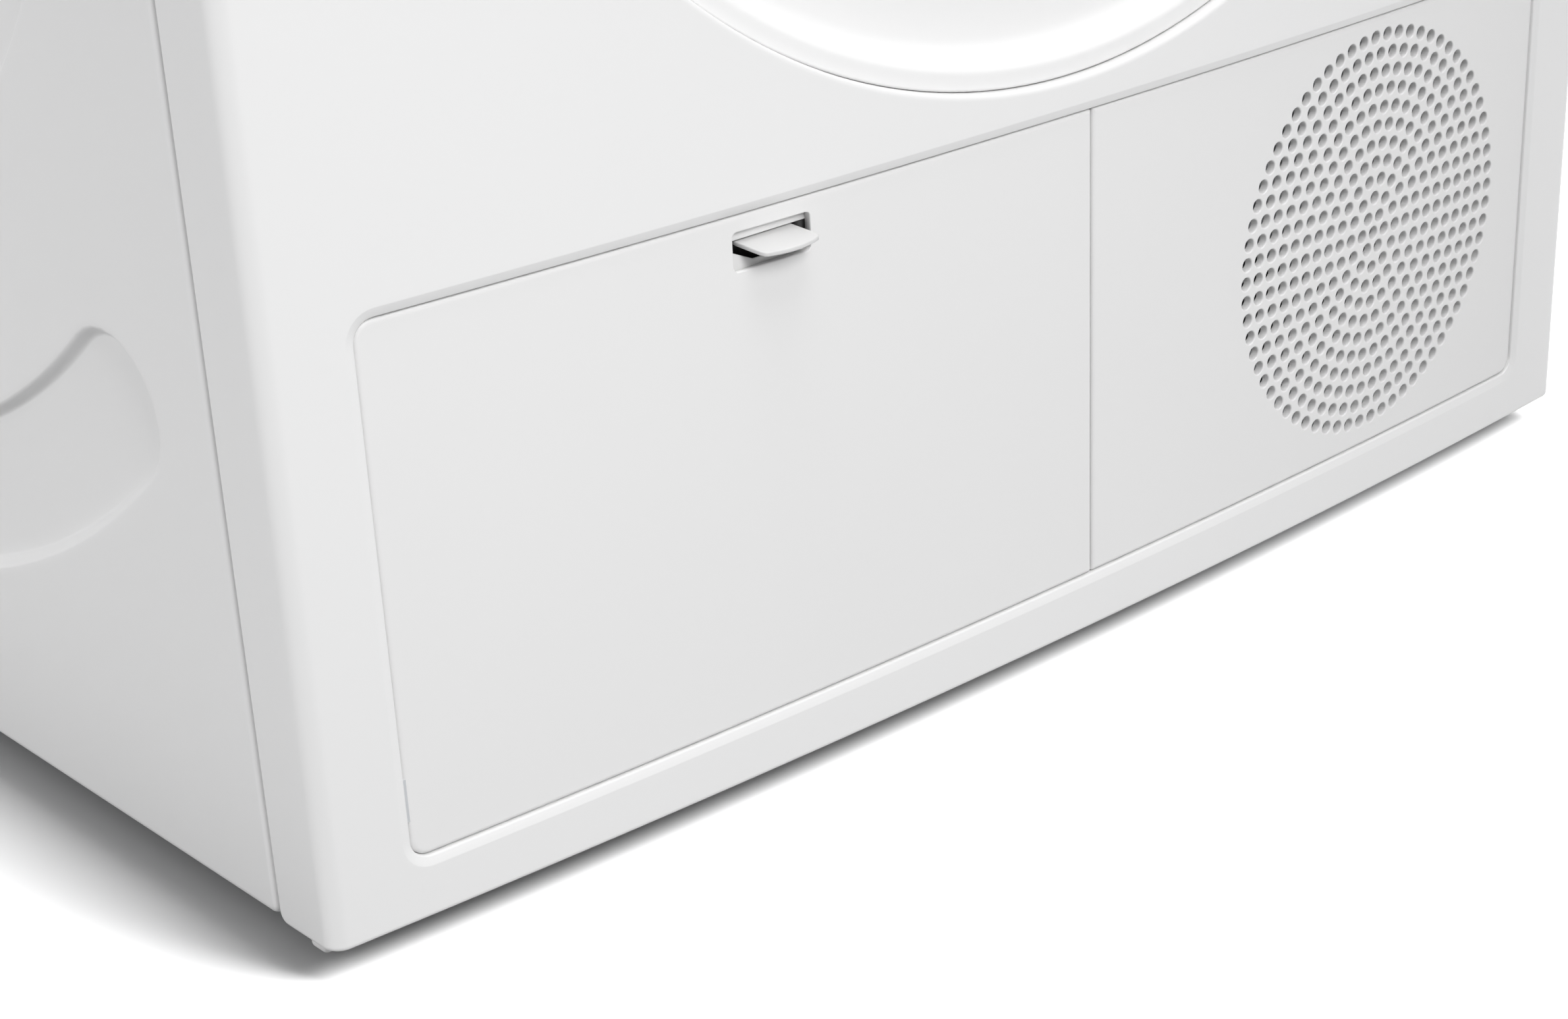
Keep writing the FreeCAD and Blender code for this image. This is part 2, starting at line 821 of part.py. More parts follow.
def drum_shell():
    """The turned drum with a rolled front edge and two pressed beads."""
    front_edge, rear = dim("drum_front"), dim("drum_rear")
    outer = dim("drum_radius")
    port = dim("drum_port_radius")
    wall = outer - metal
    bead = 3
    beads = ((-154, -134), (146, 166))
    outside = [(front_edge, port), (front_edge, outer - 6), (front_edge + 6, outer)]
    for low, high in beads:
        outside += [(low, outer), (low + 4, outer - bead), (high - 4, outer - bead), (high, outer)]
    inside = [(rear, wall)]
    for low, high in reversed(beads):
        inside += [(high, wall), (high - 4, wall - bead), (low + 4, wall - bead), (low, wall)]
    rolled_edge = [(front_edge + 6.5, wall), (front_edge + metal, outer - 6.5), (front_edge + metal, port)]
    return turned("y", drum_centre, outside + [(rear, outer)] + inside + rolled_edge)


def drum_back():
    """The pressed rear wall of the drum, with its air holes and the riveted shaft plate."""
    rear = dim("drum_rear")
    outer = dim("drum_radius") - 1.5
    disc = turned("y", drum_centre, [
        (rear - 8, outer), (rear, outer), (rear, outer - 3), (rear - 2, outer - 5), (rear - 2, 90),
        (rear - 5, 80), (rear - 5, 0), (rear - 6.5, 0), (rear - 6.5, 80), (rear - 3.5, 92),
        (rear - 3.5, outer - 6), (rear - 8, outer - 3),
    ])
    holes = []
    for radius, count in ((115, 20), (135, 24), (155, 28), (175, 32)):
        for index in range(count):
            angle = 2 * math.pi * index / count
            place = (size(radius * math.cos(angle)), dim("drum_height") + radius * math.sin(angle))
            holes.append(rod("y", place, 4, (rear - 10, rear + 2)))
    return fuse(cut(disc, *holes), drum_shaft())


def ridge(turn, reach, shrink):
    """A tapered block that stands on the drum's wall and points at its axis, smaller by shrink all round."""
    wedge = doc.addObject("Part::Wedge", "ridge")
    sizes = {
        "Xmin": -34 + shrink, "Xmax": 34 - shrink, "X2min": -11 + shrink, "X2max": 11 - shrink,
        "Zmin": -215 + shrink, "Zmax": 195 - shrink, "Z2min": -190 + shrink, "Z2max": 170 - shrink,
        "Ymin": 0, "Ymax": 62 - shrink,
    }
    for prop, amount in sizes.items():
        setattr(wedge, prop, amount)
    angle = math.radians(turn)
    wedge.Placement.Rotation = Rotation(Vector(0, 1, 0), turn).multiply(Rotation(Vector(1, 0, 0), 90))
    return move(wedge, -reach * math.sin(angle), 0, dim("drum_height") - reach * math.cos(angle))


def drum_paddles():
    """Three hollow lifters on the inside of the drum, each a rounded ridge along it."""
    inner = dim("drum_radius") - 4.5
    ridges = []
    for turn in (0, 120, 240):
        block = common(ridge(turn, inner + 4, 0), rod("y", drum_centre, inner, (-230, 240)))
        angle = math.radians(turn)
        outside = rounded(block, 6, lambda edge, middle, a=angle: ridge_edge(edge, middle, a))
        ridges.append(cut(outside, ridge(turn, inner + 4, 3.5)))
    return group(*ridges)


def ridge_edge(edge, middle, angle):
    """Whether an edge is one of a lifter's two long top edges."""
    inward = Vector(math.sin(angle), 0, math.cos(angle))
    height = (middle - Vector(0, 0, dim("drum_height").number)).dot(inward)
    return runs(edge, "y") and height > -230


def drum_shaft():
    rear = dim("drum_rear")
    return turned("y", drum_centre, [
        (rear - 5, 0), (rear - 5, 60), (rear - 2.5, 60), (rear - 2.5, 14),
        (rear + 6, 8), (rear + 28, 8), (rear + 28, 0),
    ])


def drum_bearing():
    rear = dim("rear_face")
    return turned("y", drum_centre, [
        (rear - 12, 8.06), (rear - 12, 13.9), (rear - 5, 13.9), (rear - 5, 22),
        (rear - 2.5, 22), (rear - 2.5, 13.9), (rear + 2, 13.9), (rear + 2, 8.06),
    ])


def roller_place(side):
    reach = dim("drum_radius") + dim("roller_radius") + 0.4
    angle = math.radians(DIMENSIONS["roller_angle"])
    return (side * reach * math.sin(angle), dim("drum_height") - reach * math.cos(angle))


def support_roller(side):
    radius = dim("roller_radius")
    return turned("y", roller_place(side), [
        (-229, 5.05), (-229, 10), (-227, 12), (-227, radius - 1), (-226, radius),
        (-211, radius), (-210, radius - 1), (-210, 12), (-208, 10), (-208, 5.05),
    ])


def roller_axles():
    axles = []
    for side in (-1, 1):
        axles.append(turned("y", roller_place(side), [
            (-250, 0), (-250, 9), (-230, 9), (-230, 5), (-207, 5), (-207, 7), (-205, 7), (-205, 0),
        ]))
    return group(*axles)


# ---------------------------------------------------------------- drive

def tangent_points(centre_a, radius_a, centre_b, radius_b):
    """Where the outer tangent on the right-hand side, going from a to b, touches both circles."""
    gap = centre_b - centre_a
    direction = math.atan2(gap.z, gap.x)
    lean = math.acos((radius_a - radius_b) / gap.Length)
    normal = Vector(math.cos(direction - lean), 0, math.sin(direction - lean))
    return centre_a + normal * radius_a, centre_b + normal * radius_b


def belt_wire(grow, wheels, depth):
    """The closed line round three wheels that the belt follows, grown outwards."""
    edges = []
    count = len(wheels)
    leaves, arrives = [], []
    for index in range(count):
        centre_a, radius_a = wheels[index]
        centre_b, radius_b = wheels[(index + 1) % count]
        leave, arrive = tangent_points(centre_a, radius_a + grow, centre_b, radius_b + grow)
        leaves.append(leave)
        arrives.append(arrive)
    for index in range(count):
        after = (index + 1) % count
        centre, radius = wheels[after]
        edges.append(Part.LineSegment(leaves[index], arrives[index]).toShape())
        start, end = arrives[index] - centre, leaves[after] - centre
        begin = math.atan2(start.z, start.x)
        sweep = (math.atan2(end.z, end.x) - begin) % (2 * math.pi)
        middle_angle = begin + sweep / 2
        middle = centre + Vector(math.cos(middle_angle), 0, math.sin(middle_angle)) * (radius + grow)
        edges.append(Part.Arc(arrives[index], middle, leaves[after]).toShape())
    wire = Part.Wire(edges)
    wire.translate(Vector(0, depth, 0))
    return wire


def drive_belt():
    """The ribbed belt round the drum, the motor pulley and the idler."""
    clearance = 0.3
    wheels = [
        (Vector(0, 0, dim("drum_height").number), dim("drum_radius").number),
        (Vector(dim("idler_across").number, 0, dim("idler_height").number), dim("idler_radius").number),
        (Vector(dim("motor_across").number, 0, dim("motor_height").number), dim("pulley_radius").number),
    ]
    depth = dim("belt_front").number
    outer = belt_wire(clearance + dim("belt_thickness").number, wheels, depth)
    inner = belt_wire(clearance, wheels, depth)
    band = Part.Face(outer).cut(Part.Face(inner))
    return solid_feature(band.extrude(Vector(0, dim("belt_width").number, 0)).Solids[0])


def motor_place():
    return (dim("motor_across"), dim("motor_height"))


def drive_motor():
    centre = motor_place()
    body = turned("y", centre, [
        (84, 7), (84, 34), (92, 50), (96, 54), (168, 54), (172, 50), (180, 34), (180, 7),
    ])
    feet = [centred((dim("motor_across") + x, 10), (132, 64), (95.1, 69.8)) for x in (-39, 39)]
    fins = [ring("y", centre, 50, 56, (y, y + 3)) for y in (104, 114, 124, 134, 144, 154)]
    void = rod("y", centre, 7, (60, 200))
    return group(cut(fuse(body, *feet, *fins), void), idler_post())


def motor_shaft():
    """The motor's shaft with a ribbed pulley at its front end."""
    pulley = dim("pulley_radius")
    start = dim("belt_front")
    profile = [(start - 5, 0), (start - 5, pulley + 3), (start - 2, pulley + 3), (start - 1, pulley)]
    for index in range(5):
        ridge = start + 0.5 + index * 2.4
        profile += [(ridge, pulley), (ridge + 0.7, pulley - 0.8), (ridge + 1.4, pulley)]
    profile += [(start + 13, pulley), (start + 14, pulley + 3), (start + 16, pulley + 3), (start + 16, 6),
                (206, 6), (206, 0)]
    return turned("y", motor_place(), profile)


def blower_impeller():
    """A forward-curved centrifugal wheel: a back plate, a front ring and blades between them."""
    centre = motor_place()
    plate = ring("y", centre, 6.0, 72, (240, 242))
    hub = ring("y", centre, 6.0, 14, (206.5, 241))
    rim = ring("y", centre, 54, 72, (212, 214))
    blades = []
    for index in range(24):
        blade = box((0, 1.6), (213, 241), (0, 16))
        angle = index * 15
        blade.Placement.Rotation = Rotation(Vector(0, 1, 0), angle + 25)
        radians = math.radians(angle)
        move(blade, centre[0] + 55 * math.sin(radians), 213, centre[1] + 55 * math.cos(radians))
        blades.append(blade)
    stub = rod("y", centre, 6, (206.3, 241))
    return fuse(plate, hub, rim, *blades, stub)


def blower_housing():
    centre = motor_place()
    outer = fuse(rod("y", centre, 84, (196, 262)), box((126, 205), (196, 262), (60.2, 150)))
    void = fuse(rod("y", centre, 80, (199, 263)), box((130, 205), (199, 263), (64, 150)))
    inlet = rod("y", centre, 50, (190, 200))
    cover = cut(outer, void, inlet)
    return cover


def idler_arm():
    """A pressed arm that pivots on a post and carries the idler's stub axle."""
    depth = dim("belt_front")
    idler = (dim("idler_across"), dim("idler_height"))
    pivot = IDLER_PIVOT
    length = math.hypot(pivot[0] - idler[0].number, pivot[1] - idler[1].number)
    angle = math.degrees(math.atan2(idler[1].number - pivot[1], idler[0].number - pivot[0]))
    bar = box((0, length), (0, 3), (-6, 6))
    bar.Placement.Rotation = Rotation(Vector(0, 1, 0), -angle)
    lift = Vector(0, 0, -6)
    low = bar.Placement.Rotation.multVec(lift)
    move(bar, pivot[0] + low.x, depth + 16, pivot[1] + low.z)
    hub = rod("y", pivot, 8, (depth + 16, depth + 26))
    eye = rod("y", idler, 7, (depth + 16, depth + 19))
    axle = rod("y", idler, 4, (depth - 3, depth + 17))
    head = rod("y", idler, 6, (depth - 5, depth - 3))
    return cut(fuse(bar, hub, eye, axle, head), rod("y", pivot, 4.05, (depth, depth + 40)))


def idler_pulley():
    depth = dim("belt_front")
    radius = dim("idler_radius")
    return turned("y", (dim("idler_across"), dim("idler_height")), [
        (depth - 2.7, 4.05), (depth - 2.7, radius + 2), (depth - 1, radius + 2), (depth - 0.5, radius),
        (depth + 12.5, radius), (depth + 13, radius + 2), (depth + 15, radius + 2), (depth + 15, 4.05),
    ])


def idler_post():
    """The post and foot that carry the idler arm's pivot."""
    depth = dim("belt_front")
    pivot = IDLER_PIVOT
    pin = rod("y", pivot, 4, (depth + 14, depth + 36))
    plate = box((150, 170), (depth + 30, depth + 34), (60.2, 234))
    return fuse(pin, plate)


# ---------------------------------------------------------------- heat pump

def compressor():
    """A domed can on four feet, with a terminal cap and a ledge that carries them."""
    across, along_y = COMPRESSOR_PLACE
    body = turned("z", COMPRESSOR_PLACE, [
        (78, 0), (78, 50), (90, 61), (190, 61), (204, 50), (210, 24), (212, 0),
    ])
    stand = []
    for x in (-50, 50):
        for y in (-50, 50):
            stand.append(centred((across + x, 34), (along_y + y, 34), (72, 4)))
            stand.append(rod("z", (across + x, along_y + y), 9, (60.2, 72)))
    ledge = centred((across, 120), (along_y, 120), (78, 8))
    cap = rod("z", COMPRESSOR_PLACE, 14, (205, 222))
    return fuse(body, *stand, ledge, cap)


def finned_block(y_low, y_high):
    """A heat exchanger core: closely spaced fins between two end plates, with return bends."""
    ends = [box((x, x + 3), (y_low, y_high), (66, 188)) for x in (-250, -33)]
    fins = [box((x, x + 1.2), (y_low + 3, y_high - 3), (70, 184)) for x in range(-242, -36, 9)]
    tubes = []
    for height in (88, 127, 166):
        for column in (y_low + 18, y_high - 18):
            tubes.append(rod("x", (column, height), 5, (-256, -24)))
    return fuse(*ends, *fins, *tubes)


def heat_exchangers():
    """The evaporator and the condenser, with the two refrigerant lines to the compressor."""
    return group(finned_block(-196, -124), finned_block(-112, -22), *refrigerant_pipes())


def refrigerant_pipes():
    suction = (
        (172, -150, 222.2), (172, -150, 234), (128, -150, 234),
        (84, -150, 190), (20, -142, 166), (-23.8, -142, 166),
    )
    hot = ((172, -88.8, 130), (172, -60, 130), (60, -60, 130), (10, -40, 127), (-23.8, -40, 127))
    pipes = []
    for route, bend in ((suction, 8), (hot, 12)):
        pipes.append(solid_feature(tube([Vector(*point) for point in route], 4, bend)))
    return pipes


def fluff_filter():
    """The plinth filter behind the service flap: a frame with a mesh panel."""
    frame = cut(box((-252, -28), (-250, -206), (64, 174)), box((-244, -36), (-251, -214), (72, 166)))
    bars = [box((x, x + 3), (-244, -214), (70, 168)) for x in range(-220, -40, 30)]
    lugs = [rod("y", place, 6, (-254, -249)) for place in LEVERS.values()]
    bores = [rod("y", place, 3.05, (-256, -240)) for place in LEVERS.values()]
    return cut(fuse(frame, *bars, *lugs), *bores)


def filter_lever(place):
    across, height = place
    hub = rod("y", place, 7, (-262, -254.3))
    grip = box((across - 4, across + 4), (-262, -256), (height, height + 26))
    pin = rod("y", place, 3, (-255, -246))
    return fuse(hub, grip, pin)


def fan_centre():
    return (dim("grille_across"), dim("grille_height"))


def cooling_fan_housing():
    centre = fan_centre()
    frame = centred((dim("grille_across"), 150), (-265, 22), (dim("grille_height"), 150))
    duct = rod("y", centre, 68, (-280, -250))
    struts = [centred((dim("grille_across"), 148), (-256, 4), (dim("grille_height"), 8)),
              centred((dim("grille_across"), 8), (-256, 4), (dim("grille_height"), 148))]
    can = rod("y", centre, 20, (-258, -240))
    return cut(fuse(cut(frame, duct), *struts, can), rod("y", centre, 2.56, (-260, -243)))


def cooling_fan():
    """An axial fan: a hub on its shaft, seven angled blades and a ring round their tips."""
    centre = fan_centre()
    hub = rod("y", centre, 19, (-274, -260))
    shaft = rod("y", centre, 2.5, (-261, -245))
    blades = []
    for index in range(7):
        turn = index * 360 / 7
        radians = math.radians(turn)
        blade = box((0, 2), (0, 12), (0, 46))
        blade.Placement.Rotation = Rotation(Vector(0, 1, 0), turn).multiply(Rotation(Vector(0, 0, 1), 38))
        move(blade, centre[0] + 16 * math.sin(radians), -273, centre[1] + 16 * math.cos(radians))
        blades.append(blade)
    tips = ring("y", centre, 60, 64, (-274, -260))
    return fuse(hub, shaft, tips, *blades)


# ---------------------------------------------------------------- service flap, latch and grille

def recessed_cover(left, right):
    """A moulded cover in the lower recess: a bowed skin with a rim along its edges."""
    gap, skin = dim("recess_gap"), dim("flap_skin")
    bottom, top = dim("recess_bottom") + gap, dim("recess_top") - gap
    depth = dim("recess_depth")
    rim = size(2)
    back = size(-283.2)
    outer = bowed_block((left, right), back, (bottom, top), depth)
    outer_corners = rounded(
        outer,
        dim("recess_corner").number,
        lambda edge, middle: runs(edge, "y") and abs(middle.x) > 200,
    )
    hollow = bowed_block((left + rim, right - rim), back + 1, (bottom + rim, top - rim), depth + skin)
    return cut(outer_corners, hollow)


def latch_pocket(grow, y):
    """The finger pocket's block, centred on the latch and grown all round."""
    across = (dim("latch_across"), 29.8 + 2 * grow)
    depth = ((y[0] + y[1]) / 2, y[1] - y[0])
    return centred(across, depth, (dim("latch_height") + 0.3, 13 + 2 * grow))


def service_flap():
    gap = dim("recess_gap")
    left, right = dim("recess_left") + gap, dim("seam_across") - dim("seam_gap") / 2
    cover = recessed_cover(left, right)
    pocket = latch_pocket(1.4, (-294, -281.5))
    mouth = latch_pocket(0, (-300, -283))
    slot = centred((dim("latch_across"), 26), (-282, 10), (dim("latch_height") - 0.6, 8))
    depth, height = dim("flap_pivot_depth"), dim("flap_pivot_height")
    hinge_parts = [
        rod("x", (depth, height), 2.5, (left - 4.5, left + 4)),
        rod("x", (depth, height), 2.5, (right - 4, right + 8)),
    ]
    for low, high in ((left + 1, left + 4), (right - 4, right - 1)):
        hinge_parts.append(rod("x", (depth, height), 5, (low, high)))
        hinge_parts.append(box((low, high), (-288, depth + 3), (height - 4, height + 4)))
    return cut(fuse(cover, pocket, *hinge_parts), mouth, slot)


def flap_latch():
    """The finger tab with its bolt behind the flap."""
    across, height = dim("latch_across"), dim("latch_height")
    tab = rounded(
        centred((across, 23), (-289.7, 27.4), (height, 2.4)),
        3.5,
        lambda edge, middle: runs(edge, "z") and middle.y < -300,
    )
    bolt = centred((across, 18), (-277, 4), (height + 1, 16))
    return fuse(tab, bolt)


def flap_frame():
    """The bearing blocks of the flap's pins, and the latch's strike, on a rail behind the recess."""
    pivot = (dim("flap_pivot_depth"), dim("flap_pivot_height"))
    left = dim("recess_left") - 6
    right = dim("seam_across") + 2.9
    blocks = []
    for low in (left, right):
        blocks.append(cut(
            box((low, low + 5), (-287.6, -262), (44, 58)),
            rod("x", pivot, 2.56, (low - 1, low + 6)),
        ))
    strike = box((-140, -112), (-274, -272), (176, 214))
    return group(*blocks, strike)


def grille_panel():
    gap = dim("recess_gap")
    left, right = dim("seam_across") + dim("seam_gap") / 2, dim("recess_right") - gap
    cover = recessed_cover(left, right)
    centre = fan_centre()
    pitch = dim("grille_pitch")
    hole = dim("grille_hole") / 2
    holes = [rod("y", centre, hole, (front, -280))]
    for ring_index in range(1, DIMENSIONS["grille_rings"] + 1):
        count = 6 * ring_index
        for index in range(count):
            angle = 2 * math.pi * index / count
            reach = pitch * ring_index
            place = (centre[0] + reach * math.cos(angle), centre[1] + reach * math.sin(angle))
            holes.append(rod("y", place, hole, (front, -280)))
    pivot = (dim("flap_pivot_depth"), dim("flap_pivot_height"))
    pin_notch = rod("x", pivot, 4.5, (left - 1, left + 3))
    return cut(cover, group(*holes), pin_notch)


# ---------------------------------------------------------------- filters, feet and rear fittings

def lint_filter():
    frame = box((-75.5, 75.5), (-257, -243), (182, 276))
    front_window = box((-69, 69), (-258, -251), (190, 268))
    rear_window = box((-69, 69), (-249, -242), (190, 268))
    handle = box((-30, 30), (-254, -246), (275, 284))
    return fuse(cut(frame, front_window, rear_window), handle)


def foot(side, y):
    radius, stud = dim("foot_radius"), dim("foot_stud")
    return turned("z", (side * dim("foot_across"), y), [
        (0, 0), (0, radius - 2), (2, radius), (6, radius - 1), (8, 9),
        (13.5, 9), (13.5, stud), (44, stud), (44, 0),
    ])


def drain_spout():
    back = dim("rear_face") - metal
    return turned("y", DRAIN_PLACE, [
        (back - 8, 5), (back - 8, 9), (back - metal, 9), (back - metal, 9.1), (back, 9.1), (back, 14),
        (back + 3, 14), (back + 3, 8), (back + 26, 8), (back + 26, 5),
    ])


def power_cord_gland():
    back = dim("rear_face") - metal
    return turned("y", CORD_PLACE, [
        (back - 10, 4.5), (back - 10, 9), (back, 9), (back, 15),
        (back + 4, 15), (back + 14, 9), (back + 14, 4.5),
    ])


def rear_screws():
    back = dim("rear_face") - metal
    head = [(back, 0), (back, 4.5), (back + 1.6, 4), (back + 2.6, 2.4), (back + 2.6, 0)]
    places = [(side * 280, z) for side in (-1, 1) for z in (40, 170, 300, 430, 560, 690, 790)]
    return group(*[turned("y", place, head) for place in places])


# ---------------------------------------------------------------- the assembly

PARTS = {
    "front_panel": front_panel,
    "rear_panel": rear_panel,
    "rear_cover": rear_cover,
    "worktop_frame": worktop_frame,
    "worktop_board": worktop_board,
    "base_tray": base_tray,
    "upper_frame": upper_frame,
    "control_panel": control_panel,
    "display_window": display_window,
    "control_board": control_board,
    "program_knob": program_knob,
    "water_tank": water_tank,
    "water_tank_front": water_tank_front,
    "door_outer_panel": door_outer_panel,
    "door_inner_panel": door_inner_panel,
    "door_hinge_arm": door_hinge_arm,
    "door_hinge_pin": door_hinge_pin,
    "door_hinge_bracket": door_hinge_bracket,
    "door_latch_hook": door_latch_hook,
    "door_lock": door_lock,
    "front_bulkhead": front_bulkhead,
    "door_seal": door_seal,
    "drum_felt_seal": drum_felt_seal,
    "drum_shell": drum_shell,
    "drum_back": drum_back,
    "drum_paddles": drum_paddles,
    "drum_bearing": drum_bearing,
    "roller_axles": roller_axles,
    "drive_belt": drive_belt,
    "drive_motor": drive_motor,
    "motor_shaft": motor_shaft,
    "blower_impeller": blower_impeller,
    "blower_housing": blower_housing,
    "idler_arm": idler_arm,
    "idler_pulley": idler_pulley,
    "compressor": compressor,
    "heat_exchangers": heat_exchangers,
    "fluff_filter": fluff_filter,
    "cooling_fan_housing": cooling_fan_housing,
    "cooling_fan": cooling_fan,
    "service_flap": service_flap,
    "flap_latch": flap_latch,
    "flap_frame": flap_frame,
    "grille_panel": grille_panel,
    "lint_filter": lint_filter,
    "drain_spout": drain_spout,
    "power_cord_gland": power_cord_gland,
    "rear_screws": rear_screws,
}
for label, build in PARTS.items():
    node(build(), label)
for side, word in ((-1, "left"), (1, "right")):
    node(side_panel(side), f"{word}_side_panel")
    node(support_roller(side), f"{word}_support_roller")
    node(foot(side, dim("foot_front")), f"front_{word}_foot")
    node(foot(side, dim("foot_rear")), f"rear_{word}_foot")
for label, (across, radius) in BUTTONS.items():
    node(push_button(across, radius), label)
for label, place in LEVERS.items():
    node(filter_lever(place), label)
doc.recompute()

for item in doc.Objects:
    if "Invalid" in item.State or "Error" in item.State:
        raise RuntimeError(f"{item.Label} failed to recompute: {item.State}")
os.makedirs("parts", exist_ok=True)
for item in NODES:
    shape = item.Shape
    if shape.isNull() or not shape.isValid() or not shape.Solids:
        raise RuntimeError(f"{item.Label} has no valid solid")
    shape.exportStep(f"parts/{item.Label}.step")
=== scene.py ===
"""Looks for a clothes dryer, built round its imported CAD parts.

Lengths in this file are millimetres until a mesh is made, and Blender's own are metres.
The axes are the CAD's: X to the right as seen from the front, Y to the back, Z up.
"""

import json
import math

import bmesh
import bpy
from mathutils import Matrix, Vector
from mathutils import geometry
from mathutils.kdtree import KDTree


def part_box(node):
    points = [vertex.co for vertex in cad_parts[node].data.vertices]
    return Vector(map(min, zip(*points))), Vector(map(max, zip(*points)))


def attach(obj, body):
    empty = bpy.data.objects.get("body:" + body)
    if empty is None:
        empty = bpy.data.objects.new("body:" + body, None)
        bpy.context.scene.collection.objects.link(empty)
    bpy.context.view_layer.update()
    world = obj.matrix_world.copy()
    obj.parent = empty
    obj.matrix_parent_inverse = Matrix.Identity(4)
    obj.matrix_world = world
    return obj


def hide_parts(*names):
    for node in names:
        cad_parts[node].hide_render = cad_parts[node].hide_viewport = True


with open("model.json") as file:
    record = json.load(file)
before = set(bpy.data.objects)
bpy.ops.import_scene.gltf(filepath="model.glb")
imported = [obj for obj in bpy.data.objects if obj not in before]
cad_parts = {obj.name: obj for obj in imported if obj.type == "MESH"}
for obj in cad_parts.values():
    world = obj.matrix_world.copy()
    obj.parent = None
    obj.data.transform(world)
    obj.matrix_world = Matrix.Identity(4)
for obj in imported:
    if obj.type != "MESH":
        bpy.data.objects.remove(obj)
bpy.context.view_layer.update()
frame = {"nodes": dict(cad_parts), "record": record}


def span(node):
    """A CAD node's lowest and highest corner, in millimetres."""
    low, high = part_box(node)
    return low * 1000, high * 1000


# ---------------------------------------------------------------- sizes taken from the frame

front_low, front_high = span("front_panel")
HALF = front_high.x
FRONT = front_low.y
WRAP_END = front_high.y
PANEL_BOTTOM, PANEL_TOP = front_low.z, front_high.z
side_low, side_high = span("left_side_panel")
flap_low, flap_high = span("service_flap")
grille_low, grille_high = span("grille_panel")
door_low, door_high = span("door_outer_panel")
latch_low, latch_high = span("flap_latch")
control_low, control_high = span("control_panel")
tank_low, tank_high = span("water_tank_front")
cooling_low, cooling_high = span("cooling_fan")
knob_low, knob_high = span("program_knob")
window_low, window_high = span("display_window")

MM = 0.001                  # one millimetre in Blender's metres
BOW_FALL = 10.85            # how far the front's sides lie behind its foremost line
BOW_RADIUS = (HALF**2 + BOW_FALL**2) / (2 * BOW_FALL)
CORNER = 6.0                # the radius of the front's vertical corners
DOOR_HEIGHT = (door_low.z + door_high.z) / 2
DOOR_RADIUS = -door_low.x
DOOR_GAP = 0.14
OPENING_RADIUS = DOOR_RADIUS + DOOR_GAP
GRILLE_CENTRE = ((cooling_low.x + cooling_high.x) / 2, (cooling_low.z + cooling_high.z) / 2)
LATCH_ACROSS = (latch_low.x + latch_high.x) / 2
KNOB_HEIGHT = (knob_low.z + knob_high.z) / 2
RECESS_DEPTH = 1.4          # how far the flap and the grille lie behind the front
GAP = 0.4                   # between the recess and what lies in it


# ---------------------------------------------------------------- mesh building

MERGE, DEGENERATE = 2e-6, 1e-7    # metres: points this near are one, edges this short are none
END_ROOM = 0.3                    # between a straight run's points and its rounded corner
LEAST_RADIUS = 0.02
CDT_EPSILON = 1e-7
FOLD = math.radians(50)           # edges sharper than this are rounded and shaded as edges


class Skin:
    """A mesh under construction: points in millimetres and the faces between them."""

    def __init__(self):
        self.points = []
        self.faces = []

    def add(self, points):
        start = len(self.points)
        self.points.extend(points)
        return list(range(start, len(self.points)))

    def strip(self, near, far):
        """A band of quads between two closed loops of as many points."""
        count = len(near)
        for i in range(count):
            j = (i + 1) % count
            self.faces.append((near[i], near[j], far[j], far[i]))

    def bands(self, loops):
        """Bands between each loop of points and the next. Returns the last loop's numbers."""
        rows = [self.add(loop) for loop in loops]
        for near, far in zip(rows, rows[1:]):
            self.strip(near, far)
        return rows[-1]

    def object(self, name, outward=None, thickness=0.0, sharp=40):
        """The finished object. Its faces look along outward, and it may get a thickness behind them."""
        mesh = bpy.data.meshes.new(name)
        mesh.from_pydata([Vector(p) * MM for p in self.points], [], self.faces)
        work = bmesh.new()
        work.from_mesh(mesh)
        bmesh.ops.remove_doubles(work, verts=work.verts, dist=MERGE)
        bmesh.ops.dissolve_degenerate(work, edges=work.edges, dist=DEGENERATE)
        bmesh.ops.recalc_face_normals(work, faces=work.faces)
        if outward is not None:
            facing = sum((f.normal * f.calc_area() for f in work.faces), Vector()).dot(Vector(outward))
            if facing < 0:
                bmesh.ops.reverse_faces(work, faces=work.faces)
        work.to_mesh(mesh)
        work.free()
        item = bpy.data.objects.new(name, mesh)
        bpy.context.scene.collection.objects.link(item)
        mesh.shade_smooth()
        mesh.set_sharp_from_angle(angle=math.radians(sharp))
        if thickness:
            solid = item.modifiers.new("thickness", "SOLIDIFY")
            solid.thickness = thickness * MM
            solid.offset = -1
        return item


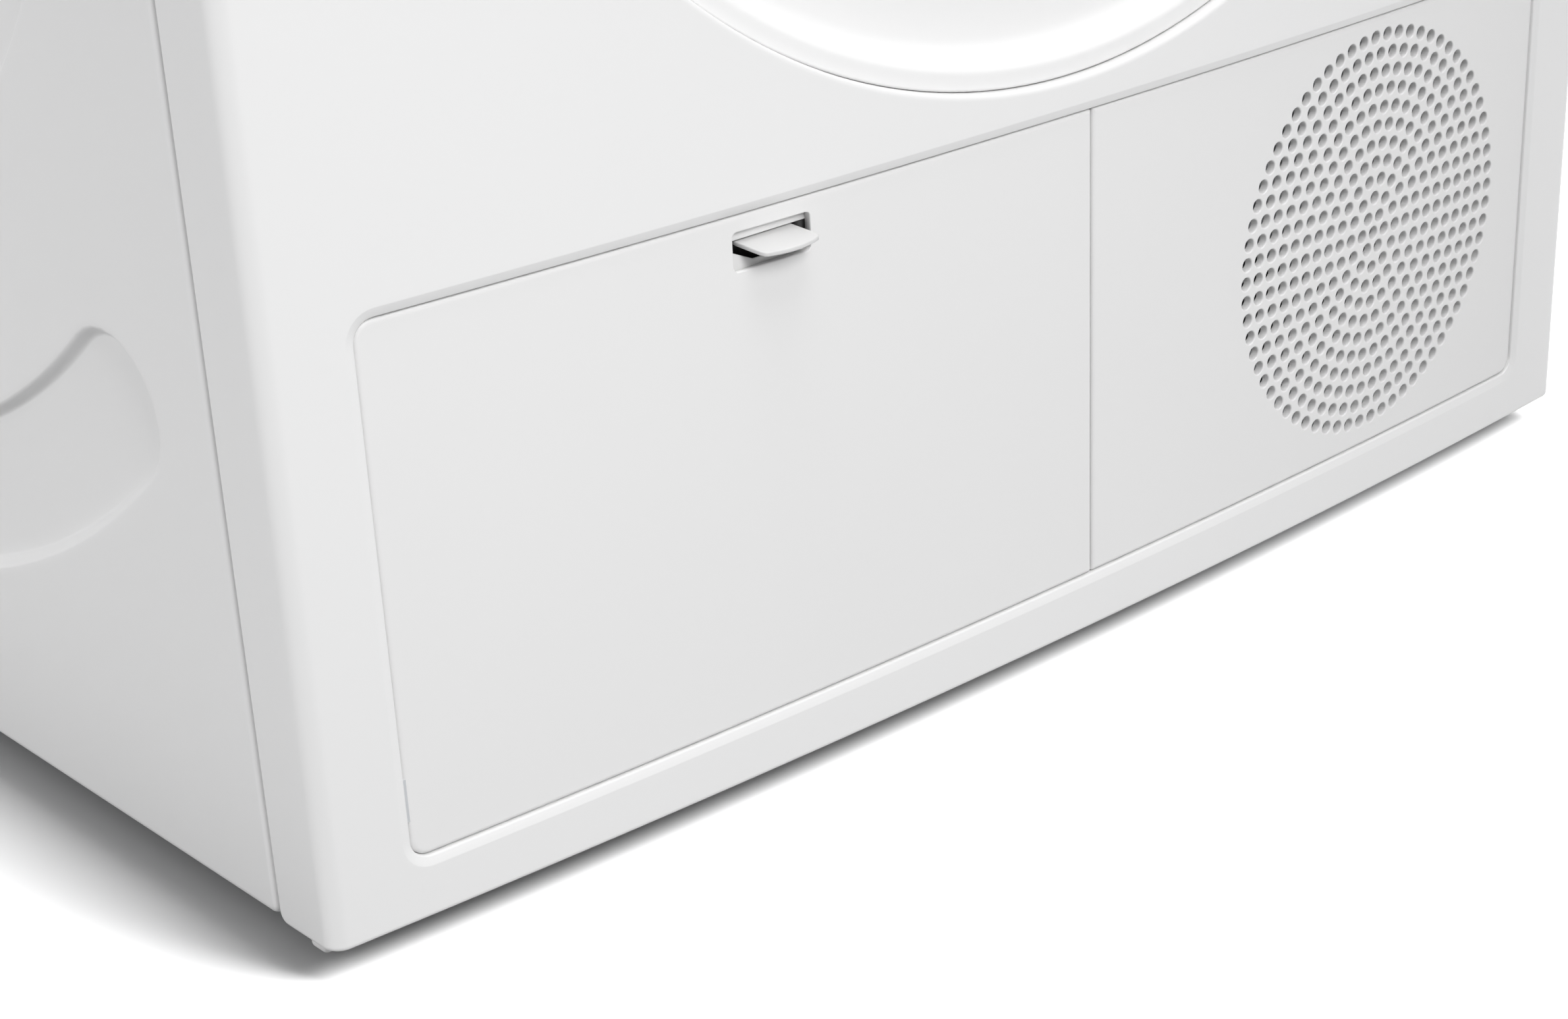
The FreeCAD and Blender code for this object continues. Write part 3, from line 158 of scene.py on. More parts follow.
def frame_loop(left, right, bottom, top, corners, columns=(), rows=(), arc=6):
    """A rectangle's outline with rounded corners, as a function of how far it is grown.

    corners holds the radii at bottom left, bottom right, top right and top left.
    """
    def loop(grow):
        radii = [max(r + grow, LEAST_RADIUS) for r in corners]
        lo_u, hi_u, lo_v, hi_v = left - grow, right + grow, bottom - grow, top + grow
        centres = [
            (lo_u + radii[0], lo_v + radii[0], 180), (hi_u - radii[1], lo_v + radii[1], 270),
            (hi_u - radii[2], hi_v - radii[2], 0), (lo_u + radii[3], hi_v - radii[3], 90),
        ]

        def between(places, low, near, high, far):
            return [p for p in places if low + corners[near] + END_ROOM < p < high - corners[far] - END_ROOM]

        runs = [
            [(u, lo_v) for u in between(columns, left, 0, right, 1)],
            [(hi_u, v) for v in between(rows, bottom, 1, top, 2)],
            [(u, hi_v) for u in reversed(between(columns, left, 3, right, 2))],
            [(lo_u, v) for v in reversed(between(rows, bottom, 0, top, 3))],
        ]
        points = []
        for (cu, cv, start), radius, run in zip(centres, radii, runs):
            for k in range(arc + 1):
                angle = math.radians(start + 90 * k / arc)
                points.append((cu + radius * math.cos(angle), cv + radius * math.sin(angle)))
            points.extend(run)
        return points
    return loop


def circle_loop(cu, cv, radius, count):
    """A circle's outline, as a function of how far it is grown."""
    def loop(grow):
        reach = radius + grow
        angles = [2 * math.pi * k / count for k in range(count)]
        return [(cu + reach * math.cos(a), cv + reach * math.sin(a)) for a in angles]
    return loop


def steps(low, high, spacing):
    """Even places between low and high, with both ends."""
    count = max(1, round((high - low) / spacing))
    return [low + (high - low) * k / count for k in range(count + 1)]


def fillet(radius, depth, segments=6, slack=0.4):
    """An edge's profile as (distance into the sheet, depth): flat, rounded over, then straight back."""
    profile = [(radius + slack, 0.0)]
    for k in range(segments + 1):
        angle = math.pi / 2 * k / segments
        profile.append((radius * (1 - math.sin(angle)), radius * (1 - math.cos(angle))))
    if depth > radius:
        profile.append((0.0, depth))
    return profile


def inside(point, loop):
    """Whether a 2D point lies inside a closed outline."""
    u, v = point
    hit = False
    previous = loop[-1]
    for corner in loop:
        if (corner[1] > v) != (previous[1] > v):
            cross = (previous[0] - corner[0]) * (v - corner[1]) / (previous[1] - corner[1]) + corner[0]
            if u < cross:
                hit = not hit
        previous = corner
    return hit


def fill(skin, place, outer, holes, lattice, clear):
    """Triangles between a 2D outline and its holes, through the lattice points that lie between them.

    place turns a 2D point into a 3D one. Lattice points nearer than clear to an outline are left out.
    """
    loops = [outer, *holes]
    points, owners, edges = [], [], []
    for number, loop in enumerate(loops):
        start = len(points)
        points.extend(loop)
        owners.extend([number] * len(loop))
        edges.extend((start + i, start + (i + 1) % len(loop)) for i in range(len(loop)))
    tree = KDTree(len(points))
    for i, (u, v) in enumerate(points):
        tree.insert((u, v, 0), i)
    tree.balance()
    extents = [(*zip(*hole),) for hole in holes]
    boxes = [(min(across), max(across), min(up), max(up)) for across, up in extents]
    for u, v in lattice:
        if tree.find((u, v, 0))[2] < clear or not inside((u, v), outer):
            continue
        near = [h for h, (a, b, c, d) in zip(holes, boxes) if a < u < b and c < v < d]
        if any(inside((u, v), h) for h in near):
            continue
        points.append((u, v))
        owners.append(-1)
    vectors = [Vector(p) for p in points]
    found, _, triangles, origins, _, _ = geometry.delaunay_2d_cdt(vectors, edges, [], 0, CDT_EPSILON)
    owner = [owners[o[0]] if o else -1 for o in origins]
    numbers = skin.add([place(p.x, p.y) for p in found])
    for triangle in triangles:
        names = {owner[i] for i in triangle}
        if len(names) == 1 and names != {-1}:
            number = names.pop()
            middle = [sum(found[i][axis] for i in triangle) / len(triangle) for axis in (0, 1)]
            if inside(middle, loops[number]) != (number == 0):
                continue
        skin.faces.append(tuple(numbers[i] for i in triangle))


def rim(skin, place, loop, profile, side):
    """The rounded edge of a sheet. side is 1 round a hole and -1 round the sheet itself."""
    return skin.bands([[place(u, v, depth) for u, v in loop(side * inset)] for inset, depth in profile])


def grid(columns, rows):
    """Every crossing of the columns and the rows."""
    return [(u, v) for u in columns for v in rows]


# ---------------------------------------------------------------- the bowed front

def bow(across):
    """How far the bowed front lies behind its foremost line."""
    return BOW_RADIUS - math.sqrt(BOW_RADIUS**2 - across**2)


def flat_place(u, v, depth=0.0):
    """A point of the bowed front, moved back by depth."""
    return (u, FRONT + bow(u) + depth, v)


CORNER_CENTRE = HALF - CORNER
CORNER_BACK = FRONT + BOW_RADIUS - math.sqrt((BOW_RADIUS - CORNER) ** 2 - CORNER_CENTRE**2)
TANGENT = CORNER_CENTRE * BOW_RADIUS / (BOW_RADIUS - CORNER)
CORNER_TURN = math.pi / 2 - math.asin(TANGENT / BOW_RADIUS)
CORNER_RUN = 15.0    # a corner's width in the unrolled sheet, stretched so that its lattice stays even
CORNER_STEPS = 10
COLUMN_SPACING, ROW_SPACING, FLANK_SPACING = 16.0, 14.0, 7.0    # of the front sheets' lattices
SHEET_CLEAR = 4.0                                               # the room round outlines in those lattices


def wrapped(u, v, depth=0.0):
    """A point of the front sheet with its two wrapped sides, unrolled along u, moved in by depth."""
    side = -1 if u < 0 else 1
    reach = abs(u)
    if reach <= TANGENT:
        lean = reach / BOW_RADIUS
        normal = (lean, -math.sqrt(1 - lean**2))
        spot = (reach, FRONT + bow(reach))
    elif reach <= TANGENT + CORNER_RUN:
        turn = math.asin(TANGENT / BOW_RADIUS) + CORNER_TURN * (reach - TANGENT) / CORNER_RUN
        normal = (math.sin(turn), -math.cos(turn))
        spot = (CORNER_CENTRE + CORNER * normal[0], CORNER_BACK + CORNER * normal[1])
    else:
        normal = (1.0, 0.0)
        spot = (HALF, CORNER_BACK + reach - TANGENT - CORNER_RUN)
    return (side * (spot[0] - normal[0] * depth), spot[1] - normal[1] * depth, v)


WRAP_REACH = TANGENT + CORNER_RUN + WRAP_END - CORNER_BACK


def wrap_columns(spacing):
    """Places across the unrolled sheet: even over the front, close together round both corners."""
    middle = steps(-TANGENT, TANGENT, spacing)
    turn = [TANGENT + CORNER_RUN * k / CORNER_STEPS for k in range(1, CORNER_STEPS + 1)]
    flank = steps(TANGENT + CORNER_RUN, WRAP_REACH, FLANK_SPACING)[1:-1]
    right = turn + flank
    return [-u for u in reversed(right)] + middle + right


def wrapped_sheet(name, bottom, top, corner, holes, thickness, depth, edge=1.2):
    """A front sheet that wraps round both vertical corners. holes holds (outline, edge profile) pairs."""
    skin = Skin()
    columns = wrap_columns(COLUMN_SPACING)
    rows = steps(bottom, top, ROW_SPACING)
    outline = frame_loop(-WRAP_REACH, WRAP_REACH, bottom, top, (corner,) * 4, columns, rows)
    profile = fillet(edge, depth)
    rim(skin, wrapped, outline, profile, -1)
    starts = []
    for loop, hole_profile in holes:
        rim(skin, wrapped, loop, hole_profile, 1)
        starts.append(loop(hole_profile[0][0]))
    fill(skin, wrapped, outline(-profile[0][0]), starts, grid(columns, rows), SHEET_CLEAR)
    return skin.object(name, outward=(0, -1, 0), thickness=thickness)


# ---------------------------------------------------------------- materials

COAT_ROUGHNESS = 0.12
PATCH_DETAIL = 4.0
TONE_ENDS = (0.3, 0.7)    # where on the large noise the darker and the lighter tone are reached
SMOOTHEST = 0.02
EVEN_SHARE = 0.5          # the large and the fine noise count the same in the roughness


def finish_of(name, tone, roughness, *, metallic=0.0, specular=0.5, spread=0.03, grain=260.0,
              bump=0.05, bump_distance=0.0002, stretch=(1, 1, 1), detail=3.0, patch=9.0, coat=0.0,
              roughness_spread=0.06, cells=False):
    """A procedural finish: uneven tone and roughness at a large scale, and a fine surface texture."""
    material = bpy.data.materials.new(name)
    material.use_nodes = True
    tree = material.node_tree
    tree.nodes.clear()
    out = tree.nodes.new("ShaderNodeOutputMaterial")
    shader = tree.nodes.new("ShaderNodeBsdfPrincipled")
    tree.links.new(shader.outputs["BSDF"], out.inputs["Surface"])
    shader.inputs["Metallic"].default_value = metallic
    shader.inputs["Specular IOR Level"].default_value = specular
    shader.inputs["Coat Weight"].default_value = coat
    shader.inputs["Coat Roughness"].default_value = COAT_ROUGHNESS
    place = tree.nodes.new("ShaderNodeTexCoord")
    mapping = tree.nodes.new("ShaderNodeMapping")
    mapping.inputs["Scale"].default_value = stretch
    tree.links.new(place.outputs["Object"], mapping.inputs["Vector"])

    large = tree.nodes.new("ShaderNodeTexNoise")
    large.inputs["Scale"].default_value = patch
    large.inputs["Detail"].default_value = PATCH_DETAIL
    tree.links.new(place.outputs["Object"], large.inputs["Vector"])
    colours = tree.nodes.new("ShaderNodeValToRGB")
    for element, position, sign in zip(colours.color_ramp.elements, TONE_ENDS, (-1, 1)):
        element.position = position
        element.color = tuple(max(0.0, c * (1 + sign * spread)) for c in tone) + (1.0,)
    tree.links.new(large.outputs["Fac"], colours.inputs["Fac"])
    tree.links.new(colours.outputs["Color"], shader.inputs["Base Color"])

    fine = tree.nodes.new("ShaderNodeTexVoronoi" if cells else "ShaderNodeTexNoise")
    fine.inputs["Scale"].default_value = grain
    if not cells:
        fine.inputs["Detail"].default_value = detail
    tree.links.new(mapping.outputs["Vector"], fine.inputs["Vector"])
    texture = fine.outputs["Distance"] if cells else fine.outputs["Fac"]

    span_node = tree.nodes.new("ShaderNodeMapRange")
    span_node.inputs["To Min"].default_value = max(SMOOTHEST, roughness - roughness_spread)
    span_node.inputs["To Max"].default_value = min(1.0, roughness + roughness_spread)
    mixed = tree.nodes.new("ShaderNodeMath")
    mixed.operation = "MULTIPLY_ADD"
    mixed.inputs[1].default_value = EVEN_SHARE
    tree.links.new(large.outputs["Fac"], mixed.inputs[0])
    half = tree.nodes.new("ShaderNodeMath")
    half.operation = "MULTIPLY"
    half.inputs[1].default_value = EVEN_SHARE
    tree.links.new(texture, half.inputs[0])
    tree.links.new(half.outputs[0], mixed.inputs[2])
    tree.links.new(mixed.outputs[0], span_node.inputs["Value"])
    tree.links.new(span_node.outputs["Result"], shader.inputs["Roughness"])

    relief = tree.nodes.new("ShaderNodeBump")
    relief.inputs["Strength"].default_value = bump
    relief.inputs["Distance"].default_value = bump_distance
    tree.links.new(texture, relief.inputs["Height"])
    tree.links.new(relief.outputs["Normal"], shader.inputs["Normal"])
    return material


def grey(value, warm=0.0):
    """A grey a little towards yellow, or with a negative warm towards blue."""
    return (value * (1 + warm), value, value * (1 - warm))


FINISHES = {
    "white_steel": finish_of(
        "white_enamel", grey(0.80, 0.002), 0.42, spread=0.006, grain=420.0, bump=0.05,
        bump_distance=0.00008, patch=5.0, roughness_spread=0.04, specular=0.42
    ),
    "white_plastic": finish_of(
        "white_moulded_plastic", grey(0.79, 0.003), 0.47, spread=0.008, grain=900.0, bump=0.06,
        bump_distance=0.00006, patch=7.0, roughness_spread=0.05, specular=0.4
    ),
    # The white plastic darkened, for the latch tab and the pocket wall under it: painted shade in place of the
    # shade over them
    "latch_plastic": finish_of(
        "painted_shade_moulded_plastic", grey(0.66, 0.003), 0.5, spread=0.008, grain=900.0, bump=0.06,
        bump_distance=0.00006, patch=7.0, roughness_spread=0.05, specular=0.4
    ),
    "white_laminate": finish_of(
        "white_laminate", grey(0.80, 0.003), 0.4, spread=0.012, grain=650.0, bump=0.1,
        bump_distance=0.00008, patch=14.0, roughness_spread=0.08, cells=True
    ),
    "grey_plastic": finish_of(
        "grey_moulded_plastic", grey(0.36), 0.5, spread=0.05, grain=800.0, bump=0.12,
        bump_distance=0.00008, patch=20.0
    ),
    "black_plastic": finish_of(
        "black_moulded_plastic", grey(0.022), 0.46, spread=0.2, grain=850.0, bump=0.16,
        bump_distance=0.00008, patch=20.0
    ),
    "dark_window": finish_of(
        "dark_smoked_window", grey(0.012), 0.09, spread=0.15, grain=60.0, bump=0.01,
        bump_distance=0.00005, patch=6.0, roughness_spread=0.03, coat=0.6
    ),
    "galvanised_steel": finish_of(
        "galvanised_sheet", grey(0.56, -0.01), 0.38, metallic=1.0, spread=0.12, grain=70.0,
        bump=0.08, patch=55.0, roughness_spread=0.12, cells=True
    ),
    "stainless_steel": finish_of(
        "brushed_stainless_steel", grey(0.6, 0.01), 0.27, metallic=1.0, spread=0.06, grain=160.0,
        bump=0.1, stretch=(1, 26, 1), patch=18.0, roughness_spread=0.1
    ),
    "fin_aluminium": finish_of(
        "fin_aluminium", grey(0.66), 0.36, metallic=1.0, spread=0.08, grain=300.0, bump=0.1,
        stretch=(1, 1, 9), patch=30.0
    ),
    "black_iron": finish_of(
        "black_painted_iron", grey(0.03), 0.44, spread=0.3, grain=350.0, bump=0.25, patch=24.0,
        specular=0.5
    ),
    "sintered_bronze": finish_of(
        "sintered_bronze", (0.46, 0.28, 0.13), 0.5, metallic=1.0, spread=0.12, grain=1500.0,
        bump=0.3, patch=60.0
    ),
    "black_rubber": finish_of(
        "black_rubber", grey(0.028), 0.72, spread=0.15, grain=1100.0, bump=0.25, patch=40.0
    ),
    "grey_rubber": finish_of(
        "grey_rubber", grey(0.23), 0.68, spread=0.08, grain=1100.0, bump=0.22, patch=30.0
    ),
    "grey_felt": finish_of(
        "grey_felt", grey(0.3), 0.95, spread=0.2, grain=1600.0, bump=0.7, bump_distance=0.0006,
        patch=70.0, detail=8.0
    ),
}


def paint(item, slot):
    """Gives an object one finish and no other."""
    item.data.materials.clear()
    item.data.materials.append(FINISHES[slot])


def piece(item, body, slot, *nodes):
    """Gives a new piece its finish and its body, and hides the CAD nodes that it stands for."""
    paint(item, slot)
    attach(item, body)
    if nodes:
        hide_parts(*nodes)
    return item


# ---------------------------------------------------------------- front panel

RECESS = {
    "left": flap_low.x - GAP, "right": grille_high.x + GAP,
    "bottom": flap_low.z - GAP, "top": flap_high.z + GAP, "corner": 6.7,
}
SLOPE = 3.0                 # the width of the recess's sloped border
SLOPE_FALL = 0.6            # the part of the recess's depth that the slope takes
SHOULDER = 1.6              # the radius of the slope's upper end
SHOULDER_STEPS = 5
TOE = [(0.45, -0.08), (0.15, 0.1), (0.0, 0.5)]    # the slope's lower end: place across, depth past its foot
RECESS_WALL = 9.0
NOTCH = {"right": 249.0, "half": 48.0, "corner": 2.0}
NOTCH_STEPS = 8


def opening_loop(count=220, corner_steps=4):
    """The door's opening: a circle with a short notch for the hinge on its right."""
    def loop(grow):
        radius = OPENING_RADIUS + grow
        half = NOTCH["half"] + grow
        right = NOTCH["right"] + grow
        corner = NOTCH["corner"] + grow
        start = math.asin(half / radius)
        points = []
        for k in range(count + 1):
            angle = start + (2 * math.pi - 2 * start) * k / count
            points.append((radius * math.cos(angle), DOOR_HEIGHT + radius * math.sin(angle)))
        for sign in (-1, 1):
            for k in range(corner_steps + 1):
                turn = k if sign < 0 else corner_steps - k
                angle = math.radians(90 * turn / corner_steps)
                points.append((
                    right - corner + corner * math.sin(angle),
                    DOOR_HEIGHT + sign * (half - corner + corner * math.cos(angle)),
                ))
            if sign < 0:
                straight = 2 * (half - corner)
                points.extend((right, DOOR_HEIGHT - half + corner + straight * k / NOTCH_STEPS)
                              for k in range(1, NOTCH_STEPS))
        return points
    return loop


def recess_loop():
    """The recess's outline, with points along its sides in step with the front sheet's lattice."""
    columns = steps(-260, 260, COLUMN_SPACING)
    rows = steps(40, 190, ROW_SPACING)
    return frame_loop(RECESS["left"], RECESS["right"], RECESS["bottom"], RECESS["top"], (RECESS["corner"],) * 4,
                      columns, rows, arc=8)


def slope_profile():
    """The recess's sloped border: a soft shoulder, the slope, a soft toe and the wall behind it."""
    drop = RECESS_DEPTH * SLOPE_FALL
    lean = math.atan2(drop, SLOPE)
    start = SLOPE + SHOULDER * math.tan(lean / 2)
    profile = [(start + 0.4, 0.0)]
    for k in range(SHOULDER_STEPS + 1):
        angle = lean * k / SHOULDER_STEPS
        profile.append((start - SHOULDER * math.sin(angle), SHOULDER * (1 - math.cos(angle))))
    return profile + [(across, drop + depth) for across, depth in TOE] + [(0.0, RECESS_WALL)]


front_skin = wrapped_sheet(
    "front_panel_skin", PANEL_BOTTOM, PANEL_TOP, corner=4.0,
    holes=[(opening_loop(), fillet(1.7, 9.0)), (recess_loop(), slope_profile())],
    thickness=0.9, depth=5.0, edge=1.6,
)
piece(front_skin, "cabinet", "white_steel", "front_panel")


# ---------------------------------------------------------------- service flap, grille and latch

SEAM = 0.6                  # between the flap and the grille
SEAM_LEFT, SEAM_RIGHT = grille_low.x - SEAM, grille_low.x
COVER_EDGE = 1.5
OUTER_CORNER, SEAM_CORNER = 6.0, 0.9
COVER_SPACING = 12.0


def cover_place(u, v, depth=0.0):
    """A point of the flap's or the grille's face, moved back by depth."""
    return flat_place(u, v, depth + RECESS_DEPTH)


def cover_sheet(left, right, corners, holes, wall=7.0, lattice=None):
    """The sheet of the flap or the grille. holes holds (outline, edge profile) pairs."""
    skin = Skin()
    columns = steps(left, right, COVER_SPACING)
    rows = steps(flap_low.z, flap_high.z, COVER_SPACING)
    outline = frame_loop(left, right, flap_low.z, flap_high.z, corners, columns, rows, arc=8)
    profile = fillet(COVER_EDGE, wall, segments=5)
    rim(skin, cover_place, outline, profile, -1)
    starts = []
    for loop, hole_profile in holes:
        rim(skin, cover_place, loop, hole_profile, 1)
        starts.append(loop(hole_profile[0][0]))
    fill(skin, cover_place, outline(-profile[0][0]), starts, lattice or grid(columns, rows), SHEET_CLEAR)
    return skin


POCKET_HALF = 14.9
POCKET_CORNER = 1.8
POCKET_DEPTH = 2.6
POCKET = {
    "left": LATCH_ACROSS - POCKET_HALF, "right": LATCH_ACROSS + POCKET_HALF,
    "bottom": latch_low.z + 0.7, "top": latch_high.z - 3.0,
}
pocket_loop = frame_loop(
    POCKET["left"], POCKET["right"], POCKET["bottom"], POCKET["top"], (POCKET_CORNER,) * 4,
    steps(POCKET["left"], POCKET["right"], 4.0), steps(POCKET["bottom"], POCKET["top"], 3.0),
)


def box_points(x, y, z):
    """A box's eight corners from its (low, high) extents."""
    return [(a, b, c) for c in z for b in y for a in x]


def round_edges(work, edges, radius, segments):
    bmesh.ops.bevel(work, geom=edges, offset=radius * MM, segments=segments, profile=0.5,
                    affect="EDGES", clamp_overlap=True)


def finished(name, work):
    """The object of a mesh under construction, shaded smooth."""
    mesh = bpy.data.meshes.new(name)
    work.to_mesh(mesh)
    work.free()
    item = bpy.data.objects.new(name, mesh)
    bpy.context.scene.collection.objects.link(item)
    mesh.shade_smooth()
    return item


def rounded_block(name, x, y, z, radius, segments=3):
    """A block with rounded edges, as a finished object."""
    work = bmesh.new()
    corners = [work.verts.new(Vector(p) * MM) for p in box_points(x, y, z)]
    for face in ((0, 2, 3, 1), (4, 5, 7, 6), (0, 1, 5, 4), (2, 6, 7, 3), (0, 4, 6, 2), (1, 3, 7, 5)):
        work.faces.new([corners[i] for i in face])
    round_edges(work, list(work.edges), radius, segments)
    bmesh.ops.recalc_face_normals(work, faces=work.faces)
    return finished(name, work)


def prism(name, outline, low, high, to_space, radius, segments):
    """A block with a 2D outline between two depths, its long edges rounded."""
    work = bmesh.new()
    near = [work.verts.new(Vector(to_space(u, v, low)) * MM) for u, v in outline]
    far = [work.verts.new(Vector(to_space(u, v, high)) * MM) for u, v in outline]
    work.faces.new(near)
    work.faces.new(list(reversed(far)))
    count = len(outline)
    for i in range(count):
        j = (i + 1) % count
        work.faces.new([near[j], near[i], far[i], far[j]])
    bmesh.ops.recalc_face_normals(work, faces=work.faces)
    round_edges(work, [e for e in work.edges if len(e.link_faces) == 2 and e.calc_face_angle(0) > FOLD],
                radius, segments)
    item = finished(name, work)
    item.data.set_sharp_from_angle(angle=FOLD)
    return item


flap_sheet = cover_sheet(
    flap_low.x, SEAM_LEFT, (OUTER_CORNER, SEAM_CORNER, SEAM_CORNER, OUTER_CORNER),
    [(pocket_loop, fillet(0.35, POCKET_DEPTH, segments=4, slack=0.3))],
)
flap_skin = flap_sheet.object("service_flap_skin", outward=(0, -1, 0), thickness=0.5)
piece(flap_skin, "flap", "white_plastic", "service_flap")


def open_box(name, x, y, z, wall):
    """A thin-walled box whose front is open."""
    skin = Skin()
    corners = skin.add(box_points(x, y, z))
    for face in ((2, 3, 7, 6), (0, 2, 6, 4), (1, 5, 7, 3), (0, 1, 3, 2), (4, 6, 7, 5)):
        skin.faces.append(tuple(corners[i] for i in face))
    return skin.object(name, outward=(0, -1, 0), thickness=wall, sharp=20)


# The latch's finger pocket: a frame one wall deep, a ledge over the tab, a wall under it in darkened plastic
# for painted shade, and behind them a black box that is painted shade for the unlit opening
POCKET_FACE = FRONT + bow(LATCH_ACROSS) + RECESS_DEPTH + POCKET_DEPTH
WELL_BACK = POCKET_FACE + 9.0
SILL = POCKET["bottom"] + 1.9      # the foot of the tab's slot
LEDGE = POCKET["top"] - 3.1
WALL_LEAN = 0.04


def past_pocket(extra):
    return (POCKET["left"] - extra, POCKET["right"] + extra)


# A black box behind the tab's slot: painted shade where the opening leads into the dark inside
shade_box = open_box("flap_latch_well", past_pocket(0.8), (POCKET_FACE + 0.4, WELL_BACK),
                (POCKET["bottom"] - 3.5, POCKET["top"] + 0.8), 0.5)
piece(shade_box, "flap", "black_plastic")
ledge = rounded_block("flap_latch_ledge", past_pocket(0.6), (POCKET_FACE - 0.3, POCKET_FACE + 1.4),
                      (LEDGE, POCKET["top"] + 0.6), 0.3)
piece(ledge, "flap", "white_plastic")


def pocket_wall():
    """The pocket's back wall below the tab's slot, which climbs to the slot's left end."""
    left, right = past_pocket(0.4)
    low = POCKET["bottom"] - 0.2
    outline = [(left, low), (right, low), (right, SILL), (POCKET["left"] + 9.1, SILL),
               (POCKET["left"] + 1.6, SILL + 3.4), (left, SILL + 3.8)]

    def lean(u, v, depth):
        return (u, POCKET_FACE - 0.35 + WALL_LEAN * (v - low) + depth, v)

    return prism("flap_latch_wall", outline, 0.0, 0.7, lean, radius=0.2, segments=2)


# The pocket wall gets the darkened white plastic: painted shade
paint(piece(pocket_wall(), "flap", "white_plastic"), "latch_plastic")

TAB_BOTTOM, TAB_TOP = 185.9, 187.4    # at the tab's tip
TAB_LEAN = 0.17
TAB_BOW = 1.4                         # how far the tab's front edge bows out
TAB_STEPS = 10
BOLT_HALF = 9.0
BOLT_DEPTH = (-281.5, -275.0)


def latch_tab():
    """The tab's outline seen from above, from its root at the back round its bowed front edge."""
    tip, root = latch_low.y, WELL_BACK - 1.0
    left = [(-11.9, root), (-11.8, tip + 11.8), (-9.6, tip + 3.3), (-8.9, tip + 2.1)]
    front = []
    for k in range(TAB_STEPS):
        share = k / TAB_STEPS
        front.append((-8.0 + 20.0 * share, tip + TAB_BOW + 0.1 * share - TAB_BOW * math.sin(math.pi * share)))
    right = [(12.2, tip + 1.7), (12.9, tip + 2.6), (12.7, tip + 5.0), (10.7, tip + 12.4), (10.6, root)]
    return [(LATCH_ACROSS + u, v) for u, v in left + front + right]


def latch_space(u, v, height):
    """The tab leans: its tip sits lower than its root."""
    return (u, v, height + TAB_LEAN * (v - latch_low.y))


tab = prism("flap_latch_tab", latch_tab(), TAB_BOTTOM, TAB_TOP, latch_space, radius=0.4, segments=4)
# The tab gets the darkened white plastic: painted shade
paint(piece(tab, "latch", "white_plastic", "flap_latch"), "latch_plastic")
bolt = rounded_block("flap_latch_bolt", (LATCH_ACROSS - BOLT_HALF, LATCH_ACROSS + BOLT_HALF), BOLT_DEPTH,
                     (latch_low.z, latch_high.z), 0.8)
piece(bolt, "latch", "white_plastic")

HOLE, HOLE_RIM, HOLE_DEPTH = 2.5, 0.5, 3.2
HOLE_SIDES = 18
PITCH = 6.795
RINGS = 11
GRILLE_MARGIN = 6.0         # no lattice points this near to the outermost holes
hole_places = [GRILLE_CENTRE]
for ring in range(1, RINGS + 1):
    for k in range(6 * ring):
        angle = 2 * math.pi * k / (6 * ring)
        hole_places.append((
            GRILLE_CENTRE[0] + PITCH * ring * math.cos(angle),
            GRILLE_CENTRE[1] + PITCH * ring * math.sin(angle),
        ))
bore = fillet(HOLE_RIM, HOLE_DEPTH, segments=4, slack=0.12)
grille_columns = steps(SEAM_RIGHT, grille_high.x, COVER_SPACING)
grille_rows = steps(flap_low.z, flap_high.z, COVER_SPACING)
outside = [p for p in grid(grille_columns, grille_rows)
           if math.dist(p, GRILLE_CENTRE) > PITCH * RINGS + GRILLE_MARGIN]
grille_sheet = cover_sheet(
    SEAM_RIGHT, grille_high.x, (SEAM_CORNER, OUTER_CORNER, OUTER_CORNER, SEAM_CORNER),
    [(circle_loop(u, v, HOLE, HOLE_SIDES), bore) for u, v in hole_places], lattice=outside,
)
piece(grille_sheet.object("grille_skin", outward=(0, -1, 0)), "cabinet", "white_plastic", "grille_panel")


# ---------------------------------------------------------------- side panels

EMBOSS = {"y": 11.5, "z": 418.5, "disc": 246.0, "arc": 338.0, "half": 22.3, "spread": 40.0}
EMBOSS_DEPTH = 3.2
STEP_WIDTH = 4.2
STEP_PARTS = 12
STEP_MARGIN = 1.5
SIDE_SPACING, SIDE_CLEAR = 15.0, 5.0


def arc_loop(middle, count=70, ends=14):
    """An arc-shaped slot with round ends about the embossed disc's centre, as a function of its growth."""
    centre = (EMBOSS["y"], EMBOSS["z"])
    low, high = math.radians(middle - EMBOSS["spread"]), math.radians(middle + EMBOSS["spread"])

    def around(hub, radius, angle):
        return (hub[0] + radius * math.cos(angle), hub[1] + radius * math.sin(angle))

    def sweep(radius, start, end):
        return [around(centre, radius, start + (end - start) * k / count) for k in range(count + 1)]

    def cap(place, turned, radius):
        hub = around(centre, EMBOSS["arc"], place)
        return [around(hub, radius, turned + math.pi * k / ends) for k in range(1, ends)]

    def loop(grow):
        half = EMBOSS["half"] + grow
        outer, inner = sweep(EMBOSS["arc"] + half, low, high), sweep(EMBOSS["arc"] - half, high, low)
        return outer + cap(high, high, half) + inner + cap(low, low + math.pi, half)
    return loop


def emboss_profile():
    """A pressed step as (distance out of the slot's outline, depth), with soft shoulder and toe."""
    profile = []
    for k in range(STEP_PARTS + 1):
        share = k / STEP_PARTS
        smooth = share * share * (3 - 2 * share)
        profile.append((STEP_WIDTH * (0.5 - share), EMBOSS_DEPTH * smooth))
    margin = STEP_WIDTH * 0.5 + STEP_MARGIN
    return [(margin, 0.0)] + profile + [(-margin, EMBOSS_DEPTH)]


